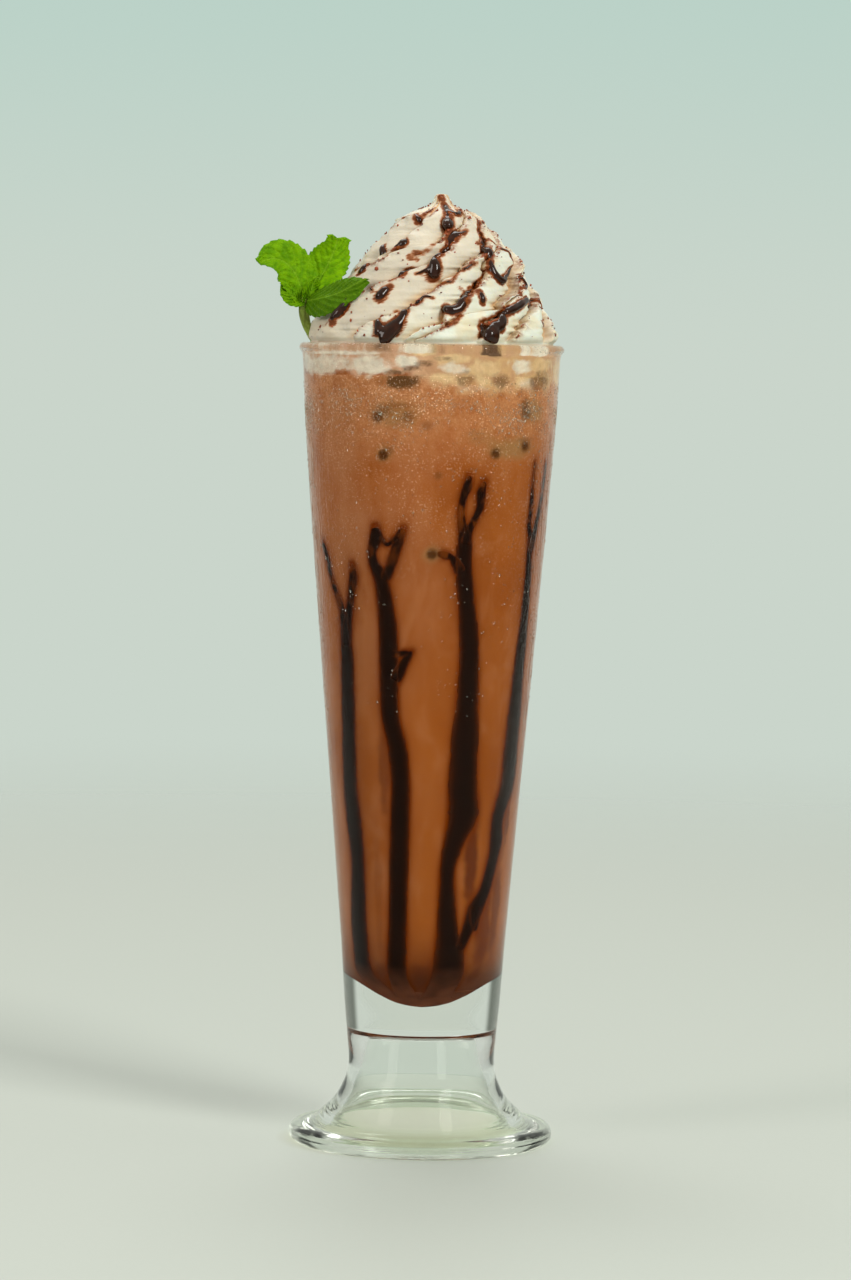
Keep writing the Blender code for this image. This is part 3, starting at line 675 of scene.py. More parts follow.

# Soft patches on the drink: angle, height, half width and half height in mm, and a strength if not 1.
# Pale, tan and dark ones lie under the rim, ice and murk where ice shows through, deep ones low down; the
# deep ones are painted shade in the shadow colour.
swirls = {
    "colours": {"pale": srgb(230, 219, 200), "tan": srgb(220, 188, 142), "dark": srgb(96, 64, 36)},
    "pale": ((-57, 224.0, 12.0, 3.0, 0.85), (-28, 223.8, 6.4, 2.4), (-11.6, 224.9, 3.2, 1.9),
             (-32, 219.4, 3.2, 1.6, 0.9), (-50, 227.6, 15.0, 0.9, 0.9), (46, 224.0, 4.2, 1.9, 0.9),
             (10, 223.4, 3.6, 1.5, 0.8), (20, 217.6, 4.0, 1.0, 0.5), (50, 219.4, 3.0, 1.6, 0.5),
             (-6.4, 228.5, 3.2, 0.9), (46.3, 228.2, 2.1, 0.7), (57.9, 228.2, 4.3, 0.9),
             (-75, 223.5, 6.0, 3.5), (120, 224.5, 9.0, 2.6), (160, 223.8, 12.0, 2.8),
             (-150, 224.4, 11.0, 2.4), (-112, 224.0, 10.0, 2.8), (178, 219.4, 3.0, 1.8)),
    "tan": ((5, 219.6, 5.0, 2.6, 0.9), (26, 223.6, 5.0, 2.6, 0.8), (60, 224.6, 6.0, 2.2, 0.7),
            (4.1, 219.9, 2.6, 2.3), (36, 217.6, 6.0, 1.7, 0.7), (8.5, 226.0, 5.2, 1.7, 0.9),
            (68.3, 220.0, 5.0, 2.4, 0.6), (-3.1, 227.7, 4.0, 1.1), (18.6, 216.5, 6.0, 1.1, 0.7),
            (24, 219.6, 2.4, 1.6, 0.9), (47, 219.5, 3.0, 2.0, 0.9), (84, 222.6, 8.0, 3.8),
            (104, 221.0, 7.0, 2.4), (140, 221.4, 9.0, 2.6), (-168, 221.2, 9.0, 2.6),
            (-132, 220.8, 8.0, 2.6), (-96, 221.4, 7.0, 2.2)),
    "dark": ((-16.7, 221.8, 2.7, 0.9, 0.8), (-9.6, 223.2, 2.6, 0.9, 0.7), (-2.6, 224.6, 2.6, 0.9, 0.6),
             (4.3, 226.0, 2.3, 0.9, 0.5), (-13.6, 219.4, 5.0, 2.1), (-17.5, 218.8, 2.4, 1.5, 0.9),
             (15.5, 220.6, 2.4, 1.9, 0.42), (34, 220.2, 2.6, 2.3, 0.45), (60, 220.2, 4.8, 2.6, 0.5),
             (3.8, 228.5, 2.0, 1.4, 0.25), (75.9, 228.8, 6.5, 1.4, 0.25), (-22.2, 229.2, 3.0, 0.8, 0.6),
             (28, 228.0, 2.9, 1.5, 1.1), (112, 220.6, 3.4, 2.0, 0.8), (150, 219.8, 4.0, 2.2, 0.8),
             (-140, 220.4, 4.4, 2.2, 0.8), (-104, 219.6, 3.2, 1.8, 0.8), (-174, 225.6, 3.0, 1.4, 0.6)),
    "ice": ((-25.4, 209.4, 1.6, 1.6, 1.0), (-22.4, 211.4, 2.6, 1.5, 0.45), (-10.5, 209.6, 1.7, 1.6, 0.55),
            (-14, 212.6, 4.2, 0.8, 0.35), (32.8, 199.4, 1.5, 1.5, 0.95), (51.4, 201.6, 1.8, 1.6, 1.0),
            (51.0, 203.4, 3.0, 0.7, 0.4), (50.2, 211.2, 1.8, 2.6, 0.9), (48.8, 213.2, 1.6, 1.6, 0.6),
            (-23.0, 198.6, 1.4, 1.5, 1.2), (1.7, 171.0, 1.3, 1.3, 1.2), (-20.4, 200.0, 1.6, 1.1, 0.4),
            (4, 193.2, 1.2, 1.2, 0.4), (-1.7, 207.3, 1.6, 1.2, 0.4), (-26.5, 174.0, 2.2, 1.4, 0.3),
            (128, 205, 1.8, 1.7, 0.9), (138, 206, 1.6, 1.6, 0.7), (-154, 198, 1.7, 1.6, 0.9),
            (-144, 199, 1.6, 1.5, 0.7), (-118, 211, 2.0, 1.8, 0.8)),
    "murk": ((-16.5, 210.6, 6.6, 3.4, 0.7), (42, 201.0, 7.6, 3.0, 0.9), (56, 211.4, 4.4, 3.0, 0.9),
             (-23, 198.8, 2.6, 2.4, 0.5), (1.7, 171.0, 2.4, 2.2, 0.6), (133, 205.6, 6.0, 3.0, 0.8),
             (-149, 198.6, 6.0, 3.0, 0.8), (24, 204, 4.0, 2.0, 0.4)),
    "deep": ((34, 84, 2.0, 12, 0.9), (50, 64, 3.0, 12, 0.8), (66, 95, 1.6, 9, 0.8),
             (-27, 110, 1.6, 13, 0.6), (62, 70, 2.2, 14, 0.7), (-34, 74, 1.2, 16, 0.25), (6, 50, 5, 5, 0.7),
             (-40, 49, 5, 4, 0.7)),
}


# Distance in mm from each wall point to the nearest syrup run's edge
def runDistance(angles, heights, radii):
    nearest = np.full(len(angles), 99.0)
    for run in wallRuns():
        for angle, z, width in along(run, 10 * (len(run) - 1)):
            gap = np.hypot(np.radians(facing(angles - angle)) * radii, heights - z) - width / 2
            nearest = np.minimum(nearest, gap)
    return nearest


def eased(mask):
    return mask * mask * (3 - 2 * mask)


# Soft ellipses with uneven edges
def patchMask(angles, heights, radii, rows, soft=0.9, wobble=0.8):
    warp = []
    for a, z, r in zip(angles, heights, radii):
        p = at(a, r, z)
        warp.append(noise.noise(p * 0.22) * 0.5 + noise.noise(p * 0.55) * 0.4 + noise.noise(p * 1.2) * 0.25)
    warp = np.array(warp)
    found = np.zeros(len(angles))
    for angle, z, wide, tall, *strength in rows:
        across = np.radians(facing(angles - angle)) * radii
        reach = np.hypot(across / wide, (heights - z) / tall) + warp * wobble
        mask = np.clip((1 + soft / 2 - reach) / soft, 0, 1)
        found = np.maximum(found, eased(mask) * (strength[0] if strength else 1.0))
    return found


# How much of each point belongs to the pale band over the drink; its lower edge is wavy
def bandMask(angles, heights):
    right = np.clip((facing(angles) + 16) / 26, 0, 1)
    edge = 221.3 - 3.4 * right
    wave = [noise.noise(at(a, 11, z * 0.25)) * 2.2 + noise.noise(at(a, 30, z * 0.8)) * 0.9
            for a, z in zip(angles, heights)]
    return eased(np.clip((heights - edge + np.array(wave)) / (1.6 + 3.4 * right) + 0.5, 0, 1))


# Node group: colour of the band just under the rim, with pale, tan and dark swirls
def makeBandColour():
    colours = {"Left": drink["left"], "Right": drink["right"], "Rim": drink["rim"]}
    for name in ("tan", "pale", "dark"):
        colours[name.capitalize()] = swirls["colours"][name]
        colours[name.capitalize() + " shade"] = darker(swirls["colours"][name], 0.8)
    group, given = newGroup("rimBand", colours, "Color", "NodeSocketColor")
    place, band = masks(group, "swirl"), masks(group, "band")
    tone = mixColour(group, band["Green"], given["Left"], given["Right"])
    tone = mixColour(group, mottle(group, 6.0, 0.38, 0.66, 5.0, 0.7, 1.0), tone, given["Rim"])
    nearRim = times(group, band["Blue"], mottle(group, 4.0, 0.25, 0.6, 3.0))
    tone = mixColour(group, nearRim, tone, given["Rim"])
    ragged = mottle(group, 1.6, 0.25, 0.75, 5.0, 0.8, 0.8)
    for channel, name in (("Red", "Tan"), ("Green", "Pale"), ("Blue", "Dark")):
        mask = ramp(group, frayed(group, place[channel], ragged, 0.4), 0.15, 0.95)
        uneven = mixColour(group, mottle(group, 3.0, 0.35, 0.7, 4.0), given[name], given[name + " shade"])
        tone = mixColour(group, mask, tone, uneven)
    return closeGroup(group, tone)


# Node group: colour of the drink itself, clouds of brown, milk and deeper coffee
def makeBrewColour():
    group, given = newGroup("brew", {"Brown": drink["brown"], "Deep": drink["deep"], "Milky": drink["milky"]},
                            "Color", "NodeSocketColor")
    tone = mixColour(group, mottle(group, 26.0, 0.35, 0.68, 4.0, 1.8, 0.6), given["Brown"], given["Deep"])
    milk = times(group, mottle(group, 9.0, 0.45, 0.75, 5.0, 2.0, 1.2), 0.5)
    return closeGroup(group, mixColour(group, milk, tone, given["Milky"]))


bandColour, brewColour = makeBandColour(), makeBrewColour()


def drinkMaterial():
    material, tree, shader = newMaterial("mocha", drink["rough"], 1.35)
    shader.inputs["Specular IOR Level"].default_value = 0.0
    place, tint, sunk = masks(tree, "paint"), masks(tree, "tint"), masks(tree, "sunk")
    tone = placeGroup(tree, brewColour, {})
    haze = times(tree, tint["Green"], mottle(tree, 12.0, 0.2, 0.7, 4.0, 2.0))
    tone = mixColour(tree, haze, tone, drink["haze"])
    veil = times(tree, sunk["Blue"], mottle(tree, 5.0, 0.2, 0.6, 4.0))
    tone = mixColour(tree, veil, tone, drink["veil"])
    # painted shade: the shadow colour darkens the drink low down and in the deep patches
    for mask, name in ((tint["Red"], "shadow"), (sunk["Green"], "low"), (place["Green"], "shadow"),
                       (place["Red"], "halo"), (sunk["Red"], "murk"), (place["Blue"], "ice")):
        tone = mixColour(tree, mask, tone, drink[name])
    # pale specks: partly froth, partly painted glints of dew drops
    clumps = times(tree, mottle(tree, 7.0, 0.38, 0.6, 3.0), tint["Blue"])
    frothAndGlints = times(tree, mottle(tree, 0.5, 0.6, 0.72, 1.0), clumps)
    grain = times(tree, mottle(tree, 0.8, 0.35, 0.65, 2.0), times(tree, tint["Blue"], 0.4))
    tone = mixColour(tree, grain, tone, drink["deep"])
    tone = mixColour(tree, masks(tree, "band")["Red"], tone, placeGroup(tree, bandColour, {}))
    tone = mixColour(tree, masks(tree, "swirl")["Blue"], tone, swirls["colours"]["dark"])
    tone = mixColour(tree, times(tree, frothAndGlints, 0.85), tone, drink["frothAndGlints"])
    tree.links.new(tone, shader.inputs["Base Color"])
    bump(tree, shader, frothAndGlints, 0.2, 0.6)
    return material


# The band and its swirls, stored on the drink and on the cream inside the glass alike
def bandPaint(piece, angles, heights, radii):
    side = facing(angles)
    leftToRight = np.clip(0.5 + side / 30, 0, 1)
    nearRim = 0.6 * np.clip((heights - 225.8) / 1.4, 0, 1)
    atSides = np.clip((np.abs(side) - 60) / 8, 0, 1)
    paint(piece, "band", (bandMask(angles, heights), leftToRight, np.maximum(nearRim, atSides)))
    spot = (angles, heights, radii)
    paint(piece, "swirl", tuple(patchMask(*spot, swirls[name]) for name in ("tan", "pale", "dark")))


def makeDrink():
    size = drink["columns"]
    zLow, zHigh = form["poolLevel"] + 0.02, form["drinkLevel"]
    climbs = [1 - (1 - k / drink["rows"]) ** 1.35 for k in range(drink["rows"] + 1)]
    heights = [zLow + (zHigh - zLow) * climb for climb in climbs]
    points = [at(360 * k / size, bowlRadius(z) + drink["grip"], z) for z in heights for k in range(size)]
    faces = ringFaces(size, len(heights))
    for r, z in ((0, zLow), (len(heights) - 1, zHigh)):
        points.append(Vector((0, 0, z)))
        faces += [(r * size + k, r * size + (k + 1) % size, len(points) - 1) for k in range(size)]
    made = makeMesh("mochaDrink", points, faces, drinkMaterial())
    faceOut(made)
    angles = np.array([360 * k / size for _ in heights for k in range(size)] + [0.0, 0.0])
    levels = np.array([z for z in heights for _ in range(size)] + [zLow, zHigh])
    radii = np.array([bowlRadius(z) for z in heights for _ in range(size)] + [1.0, 1.0])
    gap = runDistance(angles, levels, radii)
    spot = (angles, levels, radii)
    # a brown edge round the syrup: a narrow one and a wide faint one
    halo = np.clip(np.exp(-np.maximum(gap, 0) / 0.75) + 0.25 * np.exp(-np.maximum(gap, 0) / 3.5), 0, 1)
    deep, ice = patchMask(*spot, swirls["deep"], 1.0), patchMask(*spot, swirls["ice"], 1.1, 0.3)
    paint(made, "paint", (halo, deep, ice))
    side = facing(angles)
    # milk haze, most of it high up on the left and along both sides; froth specks near the top, partly froth
    # and partly painted glints of dew drops
    haze = np.clip((levels - 80) / 110, 0.38, 1) * np.clip(0.50 - side / 55, 0.15, 1)
    haze = np.maximum(haze, np.clip((np.abs(side) - 52) / 14, 0, 1) * np.where(side < 0, 0.6, 0.35))
    frothAndGlints = 0.35 * np.clip((levels - 158) / 30, 0, 1) + 0.65 * np.clip((levels - 198) / 14, 0, 1)
    # painted shade, darker towards the bottom
    shadow = 0.55 * np.clip((66 - levels) / 14, 0, 1)
    paint(made, "tint", (shadow, haze, frothAndGlints))
    # the drink turns dull just over the pool and pale under the cream
    low = np.clip((51.5 - levels) / 5, 0, 1)
    veil = 0.85 * np.clip((levels - 196) / 22, 0, 1) ** 0.8
    paint(made, "sunk", (patchMask(*spot, swirls["murk"], 1.0, 0.5), low, veil))
    bandPaint(made, *spot)
    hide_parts("drink")
    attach(made, "root")


makeDrink()
print("drink made")

# The piped cream. Its tables hold height and radius, sideways shift or crease depth. Each lip is a row of
# height and angle, where the edge of one fold climbs round the swirl.
cream = {
    "radius": ((230.4, 35.1), (231.5, 36.1), (233.0, 36.0), (236.2, 34.4), (239.6, 32.2), (243.0, 30.3),
               (246.5, 27.5), (250.0, 25.2), (253.4, 23.4), (256.8, 20.6), (260.2, 17.2), (262.0, 15.2),
               (264.0, 13.4), (266.0, 11.3), (267.6, 8.6), (268.8, 5.6), (270.0, 3.2), (271.5, 2.0),
               (272.9, 0.9)),
    "shift": ((231.0, 0.0), (240.0, 0.3), (248.0, 1.2), (254.0, 2.2), (273.0, 2.2)),
    "depth": ((230.0, 1.0), (232.5, 3.3), (236.0, 4.2), (245.0, 4.4), (256.0, 4.0), (262.0, 3.2),
              (267.0, 2.2), (270.0, 0.9), (272.0, 0.4)),
    "lips": (
        ((231, -142), (246, -112), (255, -96), (260, -88), (263, -78), (265.4, -62), (266.6, -45),
         (268.5, -32), (272, -26)),
        ((231, -112), (240, -94), (246, -80), (250.2, -71), (251.6, -58), (253.9, -49), (255.4, -44),
         (257.7, -33), (260.5, -31), (263.4, -24.5), (266.9, -17), (272, -10)),
        ((231, -105), (240, -88), (246, -74), (250.2, -65), (251.6, -53), (253.9, -44), (255.4, -38),
         (256.2, -28), (257.1, -10), (257.7, -4), (259.7, 4), (262, 8), (266, 12), (272, 16)),
        ((231, -67), (236, -56), (240, -52), (243, -47), (245, -40), (246.7, -28), (249.3, -18), (251, -8),
         (252.2, -3.6), (253.9, 0), (255, 5), (257.4, 11), (259.4, 16), (262, 23), (263.5, 32), (266, 45),
         (272, 62)),
        ((231, -38), (235.8, -25.5), (238.9, -11.5), (243.3, -2), (244.7, 0), (247.3, 9), (251.3, 21.3),
         (254.8, 34), (256.2, 42), (259.7, 50), (263, 62), (266, 80), (272, 104)),
        ((231, -11), (236, 4), (238.5, 7), (240.1, 10), (241, 15.8), (244.4, 23), (246.1, 28.5),
         (248.5, 33), (250.8, 36.5), (253, 40.5), (256.2, 52), (257.5, 64), (260, 84), (264, 108),
         (272, 134)),
        ((231, -6), (233.2, 3.4), (234.6, 9), (236.3, 13), (237.4, 19), (238.2, 28), (239.0, 35), (241, 39),
         (242.4, 45), (245.3, 58), (248.2, 64), (250.5, 70), (256, 95), (264, 122), (272, 148)),
        ((231, 24), (235.2, 32), (238, 39), (240.9, 43.5), (242.4, 50), (245.3, 63.5), (248.2, 69),
         (250.5, 75), (256, 100), (264, 128), (272, 154)),
        ((231, 40), (234, 47), (237, 56), (238.5, 66), (242, 80), (246, 92), (252, 106), (260, 132),
         (266, 152), (272, 172)),
        ((231, 72), (240, 98), (250, 130), (260, 162), (266, 182), (272, 198)),
        ((231, 103), (240, 128), (250, 158), (260, 188), (266, 208), (272, 222)),
        ((231, 134), (240, 160), (250, 190), (260, 212), (266, 230), (272, 244)),
        ((231, 164), (240, 190), (250, 216), (260, 234), (266, 252), (272, 266)),
        ((231, 192), (240, 214), (250, 234), (260, 252), (266, 272), (272, 290)),
    ),
    "shares": (0, 0.02, 0.04, 0.06, 0.08, 0.1, 0.12, 0.145, 0.18, 0.22, 0.27, 0.33, 0.4, 0.47, 0.55, 0.63,
               0.7, 0.77, 0.84, 0.9, 0.95, 0.98),
    "rise": ((0, 0), (0.03, 0.42), (0.06, 0.88), (0.1, 1), (0.16, 0.995), (0.27, 0.96), (0.4, 0.88),
             (0.55, 0.76), (0.68, 0.62), (0.8, 0.45), (0.9, 0.26), (1, 0)),
    "tuck": ((0, 0), (0.4, 0.5), (0.9, 0.95), (1.5, 1), (2.2, 0.75), (3.2, 0.4), (4.6, 0.1), (6.0, 0)),
    "lipWidth": 1.5, "overhang": 1.3, "rings": 220, "start": 230.4, "end": 272.7, "bottom": 220.8,
    "grip": 0.1, "rough": 0.5, "shine": 0.3, "glow": 0.3, "lean": 2.2, "white": srgb(224, 226, 211),
    "warmToneAndShade": srgb(224, 211, 180), "ledgeShade": srgb(206, 172, 134), "crease": srgb(206, 162, 108),
    "shade": srgb(208, 194, 174), "film": srgb(178, 100, 30), "stain": srgb(112, 52, 12),
    "cocoa": srgb(132, 62, 26),
}

# Sauce on the cream: angle, height and width in mm. Thick runs first, then thin lines of cocoa and sauce,
# then loose flakes and thin stains. A run stands "base" mm above the cream, plus its gain times its width.
sauce = {
    "thick": (
        ((-4, 272.0, 1.0), (4, 271.2, 1.2)),
        ((13, 269.8, 1.1), (14, 267.7, 1.7), (11, 265.4, 2.9), (12, 263.8, 3.2), (9, 262.2, 2.0)),
        ((21, 268.2, 0.9), (28, 266.8, 1.2), (46, 268.0, 1.1)),
        ((30, 262, 0.7), (22, 260.7, 1.4), (16, 261, 2.4), (12, 259.4, 3.4), (8, 257.7, 2.4),
         (4, 256.5, 1.3), (0, 255.8, 1.0)),
        ((3, 254.6, 1.1), (-1, 253.6, 1.6), (-2, 251.7, 2.9), (-3, 249.7, 3.4), (-4, 248.4, 2.0)),
        ((-5, 250.8, 1.5), (-9, 250.2, 0.8), (-12, 249.6, 0.6), (-14, 249.2, 0.4)),
        ((-76, 265.6, 0.5), (-60, 266, 0.6), (-49, 266.5, 0.7), (-35, 265.1, 1.6), (-37, 264.4, 1.0)),
        ((-30, 266.4, 0.8), (-24, 267.5, 0.7), (-20, 268.8, 0.5)),
        ((-35, 261.1, 0.5), (-36, 259.7, 0.7), (-37, 258.5, 1.7), (-32, 257.7, 2.7), (-36, 256.8, 1.7),
         (-40, 256.2, 0.9)),
        ((-61, 258, 1.0), (-61, 257.2, 1.5), (-57, 255.3, 2.4), (-57, 254, 1.5), (-59, 252.9, 1.0),
         (-59, 251.4, 1.6), (-59, 249.9, 2.1), (-61, 249.1, 1.1)),
        ((-17, 250, 1.0), (-20, 249.4, 2.5), (-22, 248.4, 1.9), (-24, 247.6, 0.7), (-28, 246.8, 0.5)),
        ((-28, 245.6, 1.5), (-30, 244.6, 2.5), (-31, 243.2, 3.0), (-30, 241.9, 1.6)),
        ((-45, 244.2, 1.4), (-46, 243.2, 2.2), (-49, 241.3, 2.6), (-51, 239.0, 2.9), (-53, 236.9, 3.1),
         (-54, 235.6, 2.2)),
        ((0, 242.9, 0.8), (-4, 242.5, 0.7), (-6, 241.3, 0.8), (-8, 240.3, 1.0), (-11, 239.5, 1.2),
         (-13, 238.3, 1.7), (-15, 236.7, 2.5), (-17, 235, 3.8), (-20, 233.2, 4.8), (-22.5, 231.8, 5.0),
         (-24.5, 231.6, 3.6)),
        ((-26, 235.8, 1.1), (-25, 234, 2.5), (-24, 232.4, 3.7)),
        ((26, 245.6, 1.7), (23, 244.2, 2.2), (19, 242.4, 2.2), (16, 240.8, 2.4), (13, 239.5, 2.6),
         (10, 238.9, 2.5), (7, 239.9, 1.6)),
        ((27, 244.2, 1.5), (27, 242.6, 1.8), (27, 241.4, 1.0)),
        ((73, 266.2, 0.9), (66, 264.8, 1.5), (59, 262.9, 1.6), (49, 260.8, 1.5), (45, 259, 1.2),
         (43, 257.4, 2.0), (41, 255.8, 2.5), (36, 254.5, 1.5)),
        ((42, 254.6, 1.1), (39, 252.6, 1.3), (40, 250.7, 2.0), (42, 248.9, 2.2), (47, 248.1, 1.8),
         (52, 249.3, 1.4), (59, 251, 1.1), (65, 252.1, 1.1)),
        ((67, 251.5, 1.1), (69, 254, 1.1), (72, 255.6, 0.9), (66, 256.6, 0.7), (53, 256.3, 0.6)),
        ((63, 243.1, 1.8), (55, 241.9, 1.9), (48, 240.6, 1.9), (43, 239.2, 2.1), (38, 237.2, 2.6),
         (33, 235.0, 3.0), (29.8, 233.0, 3.8), (28, 231.4, 4.5), (27.6, 230.8, 3.9)),
        ((24.5, 236.4, 1.3), (24.6, 234.6, 1.9), (25.8, 232.6, 2.7), (27, 231.2, 3.2)),
        ((28, 234.0, 2.4), (27.8, 232.6, 3.2), (27.4, 231.2, 3.6)),
        ((80, 244.4, 0.7), (80, 242.8, 0.9), (80, 241, 0.6), (79, 239.8, 0.4)),
        ((66, 241.3, 1.4), (79, 242, 1.5)),
    ),
    "thin": (
        ((39, 252, 0.7), (35, 249.7, 1.0), (31, 247.7, 1.1), (28, 246, 1.4)),
        ((33, 258.5, 0.5), (41, 258.9, 0.7), (52, 259.3, 0.7), (59, 258.2, 0.5)),
        ((7, 259.8, 0.7), (-2, 258.4, 0.6), (-6, 257.2, 0.6), (-11, 256.2, 0.7), (-17, 255.3, 0.6),
         (-21, 254.9, 0.5)),
        ((68, 249.5, 1.0), (73, 248.1, 1.1), (74, 246.7, 1.0), (60, 245.6, 1.0), (56, 243.8, 1.0)),
        ((65, 236.7, 0.6), (70, 236.3, 0.9), (80, 236.5, 0.6)),
        ((70, 235.2, 0.8), (80, 235.7, 0.5)),
        ((27, 252.5, 0.6), (21, 250.9, 0.7), (16, 249.5, 0.7), (11, 247.6, 0.7), (6, 246.4, 0.6),
         (2, 245.5, 0.5), (-1, 243.8, 0.4)),
        ((20, 238.2, 0.5), (17, 237.6, 0.7), (12, 236.4, 0.9), (9, 235.4, 1.0), (6, 234.2, 0.6),
         (5, 233.1, 0.4)),
        ((27, 237.1, 0.5), (31, 237.7, 0.7), (34, 238, 0.7), (38, 238.7, 0.6)),
        ((-14, 238.8, 0.4), (-17, 238.4, 0.5), (-20, 238.5, 0.8), (-21, 238.1, 0.4)),
        ((-63, 252.1, 0.5), (-67, 250.7, 0.6), (-72, 249.9, 0.6), (-80, 249.7, 0.5)),
        ((-41, 245.1, 0.6), (-37, 244.3, 0.7)),
        ((-42, 254.1, 0.3), (-48, 253.2, 0.3), (-52, 252, 0.3)),
    ),
    "spots": ((-63, 263.3, 1.0), (-80, 261.2, 0.7), (-46, 251, 1.1), (-13, 240.8, 1.2), (-27, 237.6, 1.1),
              (-43, 236.2, 0.9), (1, 235.2, 0.6), (5, 234, 0.6), (32, 258.5, 0.7), (51, 254.7, 0.5),
              (24, 254.3, 0.6), (12, 255.5, 0.8), (42, 243.7, 0.6), (51, 232.4, 0.6), (-17, 247.4, 0.7),
              (-46, 257.5, 0.8), (44, 265.7, 0.7), (-23, 261.9, 0.4)),
    "stains": ((15, 245.8, 1.8), (-24, 254.5, 2.5), (-22, 255.6, 2.0), (4, 271.0, 2.0), (9, 269.2, 2.0),
               (12.5, 267.2, 2.2), (12, 265, 2.4), (10.5, 262.6, 2.2), (9, 260.5, 2.0), (16, 263.5, 1.6),
               (-18.5, 255.2, 2.2), (-18, 253.8, 1.6)),
    "seed": 11, "rough": 0.07, "shine": 0.3, "backRuns": 4, "voxel": 0.22, "base": 0.16, "thickGain": 0.42,
    "thinGain": 0.16, "tallest": 1.6, "melted": 0.6, "dark": srgb(36, 14, 4), "mid": srgb(56, 24, 7),
    "film": srgb(138, 66, 14),
}


creamLevels = {}


# The piped surface at one height: where its lips are and how deep the creases between them
def creamLevel(z):
    key = round(z, 2)
    if key in creamLevels:
        return creamLevels[key]
    around = between(cream["radius"], z)
    calm = max(0.0, min(1.0, (z - 230) / 4)) * max(0.0, min(1.0, (272 - z) / 6))
    starts = []
    for number, lip in enumerate(cream["lips"]):
        waver = noise.noise(Vector((number * 4.7, z * 0.35, 8.1))) * 4
        waver += noise.noise(Vector((number * 2.9, z * 1.1, 2.3))) * 3
        starts.append(max(between(lip, z) - 2.0 + waver * calm, starts[-1] + 2.5 if starts else -999))
    starts.append(starts[0] + 360.0)
    widths = [b - a for a, b in zip(starts, starts[1:])]
    full = [min(1.0, math.radians(w) * around / 6.5) for w in widths]
    deep = between(cream["depth"], z)
    creamLevels[key] = {
        "z": z, "around": around, "starts": starts, "widths": widths, "full": full,
        "depth": [deep * f for f in full], "shift": between(cream["shift"], z),
        "grow": between(cream["radius"], z + 0.5) - between(cream["radius"], z - 0.5),
        "lean": [between(lip, z + 0.5) - between(lip, z - 0.5) for lip in cream["lips"]],
        "lips": [min(math.degrees(cream["lipWidth"] / max(around, 1.0)), 0.35 * w) for w in widths],
    }
    return creamLevels[key]


# A point of the surface: share runs 0 to 0.1 up the lip and 0.1 to 1 down the face to the next lip's foot
def ridgePoint(lobe, share, level, out=0.0):
    z, around, lip, wide = level["z"], level["around"], level["lips"][lobe], level["widths"][lobe]
    turn = lip * share / 0.1 if share < 0.1 else lip + (wide - lip) * (share - 0.1) / 0.9
    angle = level["starts"][lobe] + turn
    depth = level["depth"][lobe - 1 if share < 0.1 else lobe]
    radius = around - depth * (1 - between(cream["rise"], share)) + out
    place = at(angle, radius, z, level["shift"])
    tuck = between(cream["tuck"], math.radians(turn) * around) * cream["overhang"]
    tuck *= min(1.0, (z - cream["start"]) / 3)
    tuck *= min(1.0, level["depth"][lobe - 1] / 3, level["full"][lobe])
    if tuck > 0:  # the lip leans over the fold beside it
        steep = math.sqrt(1 + level["grow"] ** 2)
        a = math.radians(angle)
        upward = Vector((math.sin(a) * level["grow"], -math.cos(a) * level["grow"], 1.0)) / steep
        left = Vector((-math.cos(a), -math.sin(a), 0.0))
        place += (left * steep + upward * math.radians(level["lean"][lobe]) * radius).normalized() * tuck
    return place


# The same, found from an angle and a height
def creamPoint(angle, z, out=0.0):
    level = creamLevel(z)
    starts = level["starts"]
    wrapped = (angle - starts[0]) % 360 + starts[0]
    lobe = max(k for k in range(len(starts) - 1) if starts[k] <= wrapped)
    offset, lip = wrapped - starts[lobe], level["lips"][lobe]
    share = 0.1 * offset / lip if offset < lip else 0.1 + 0.9 * (offset - lip) / (level["widths"][lobe] - lip)
    return ridgePoint(lobe, share, level, out)


# Melted sauce spreads beyond its core; wide drops less so
def spread(width):
    return width * max(1.0, 1.36 - 0.07 * width)


# Every run with its gain, and more of both kinds on the far side
def sauceRuns():
    draw = random.Random(sauce["seed"])
    thick, thin = sauce["thickGain"], sauce["thinGain"]
    runs = [(run, thick) for run in sauce["thick"]] + [(run, thin) for run in sauce["thin"]]
    for k in range(sauce["backRuns"]):
        angle = 108 + k * 37 + draw.uniform(-6, 6)
        top = draw.uniform(246, 262)
        bottom = max(234.0, top - draw.uniform(8, 15))
        middle = (top + bottom) / 2
        drop = ((angle + 16, top, 1.3), (angle + 8, middle, 1.9), (angle, bottom, 3.2))
        runs.append((drop, thick))
        line = ((angle + 30, top + 1, 0.6), (angle + 23, top + 0.6, 0.9), (angle + 16, top, 0.8))
        runs.append((line, thin))
    return runs


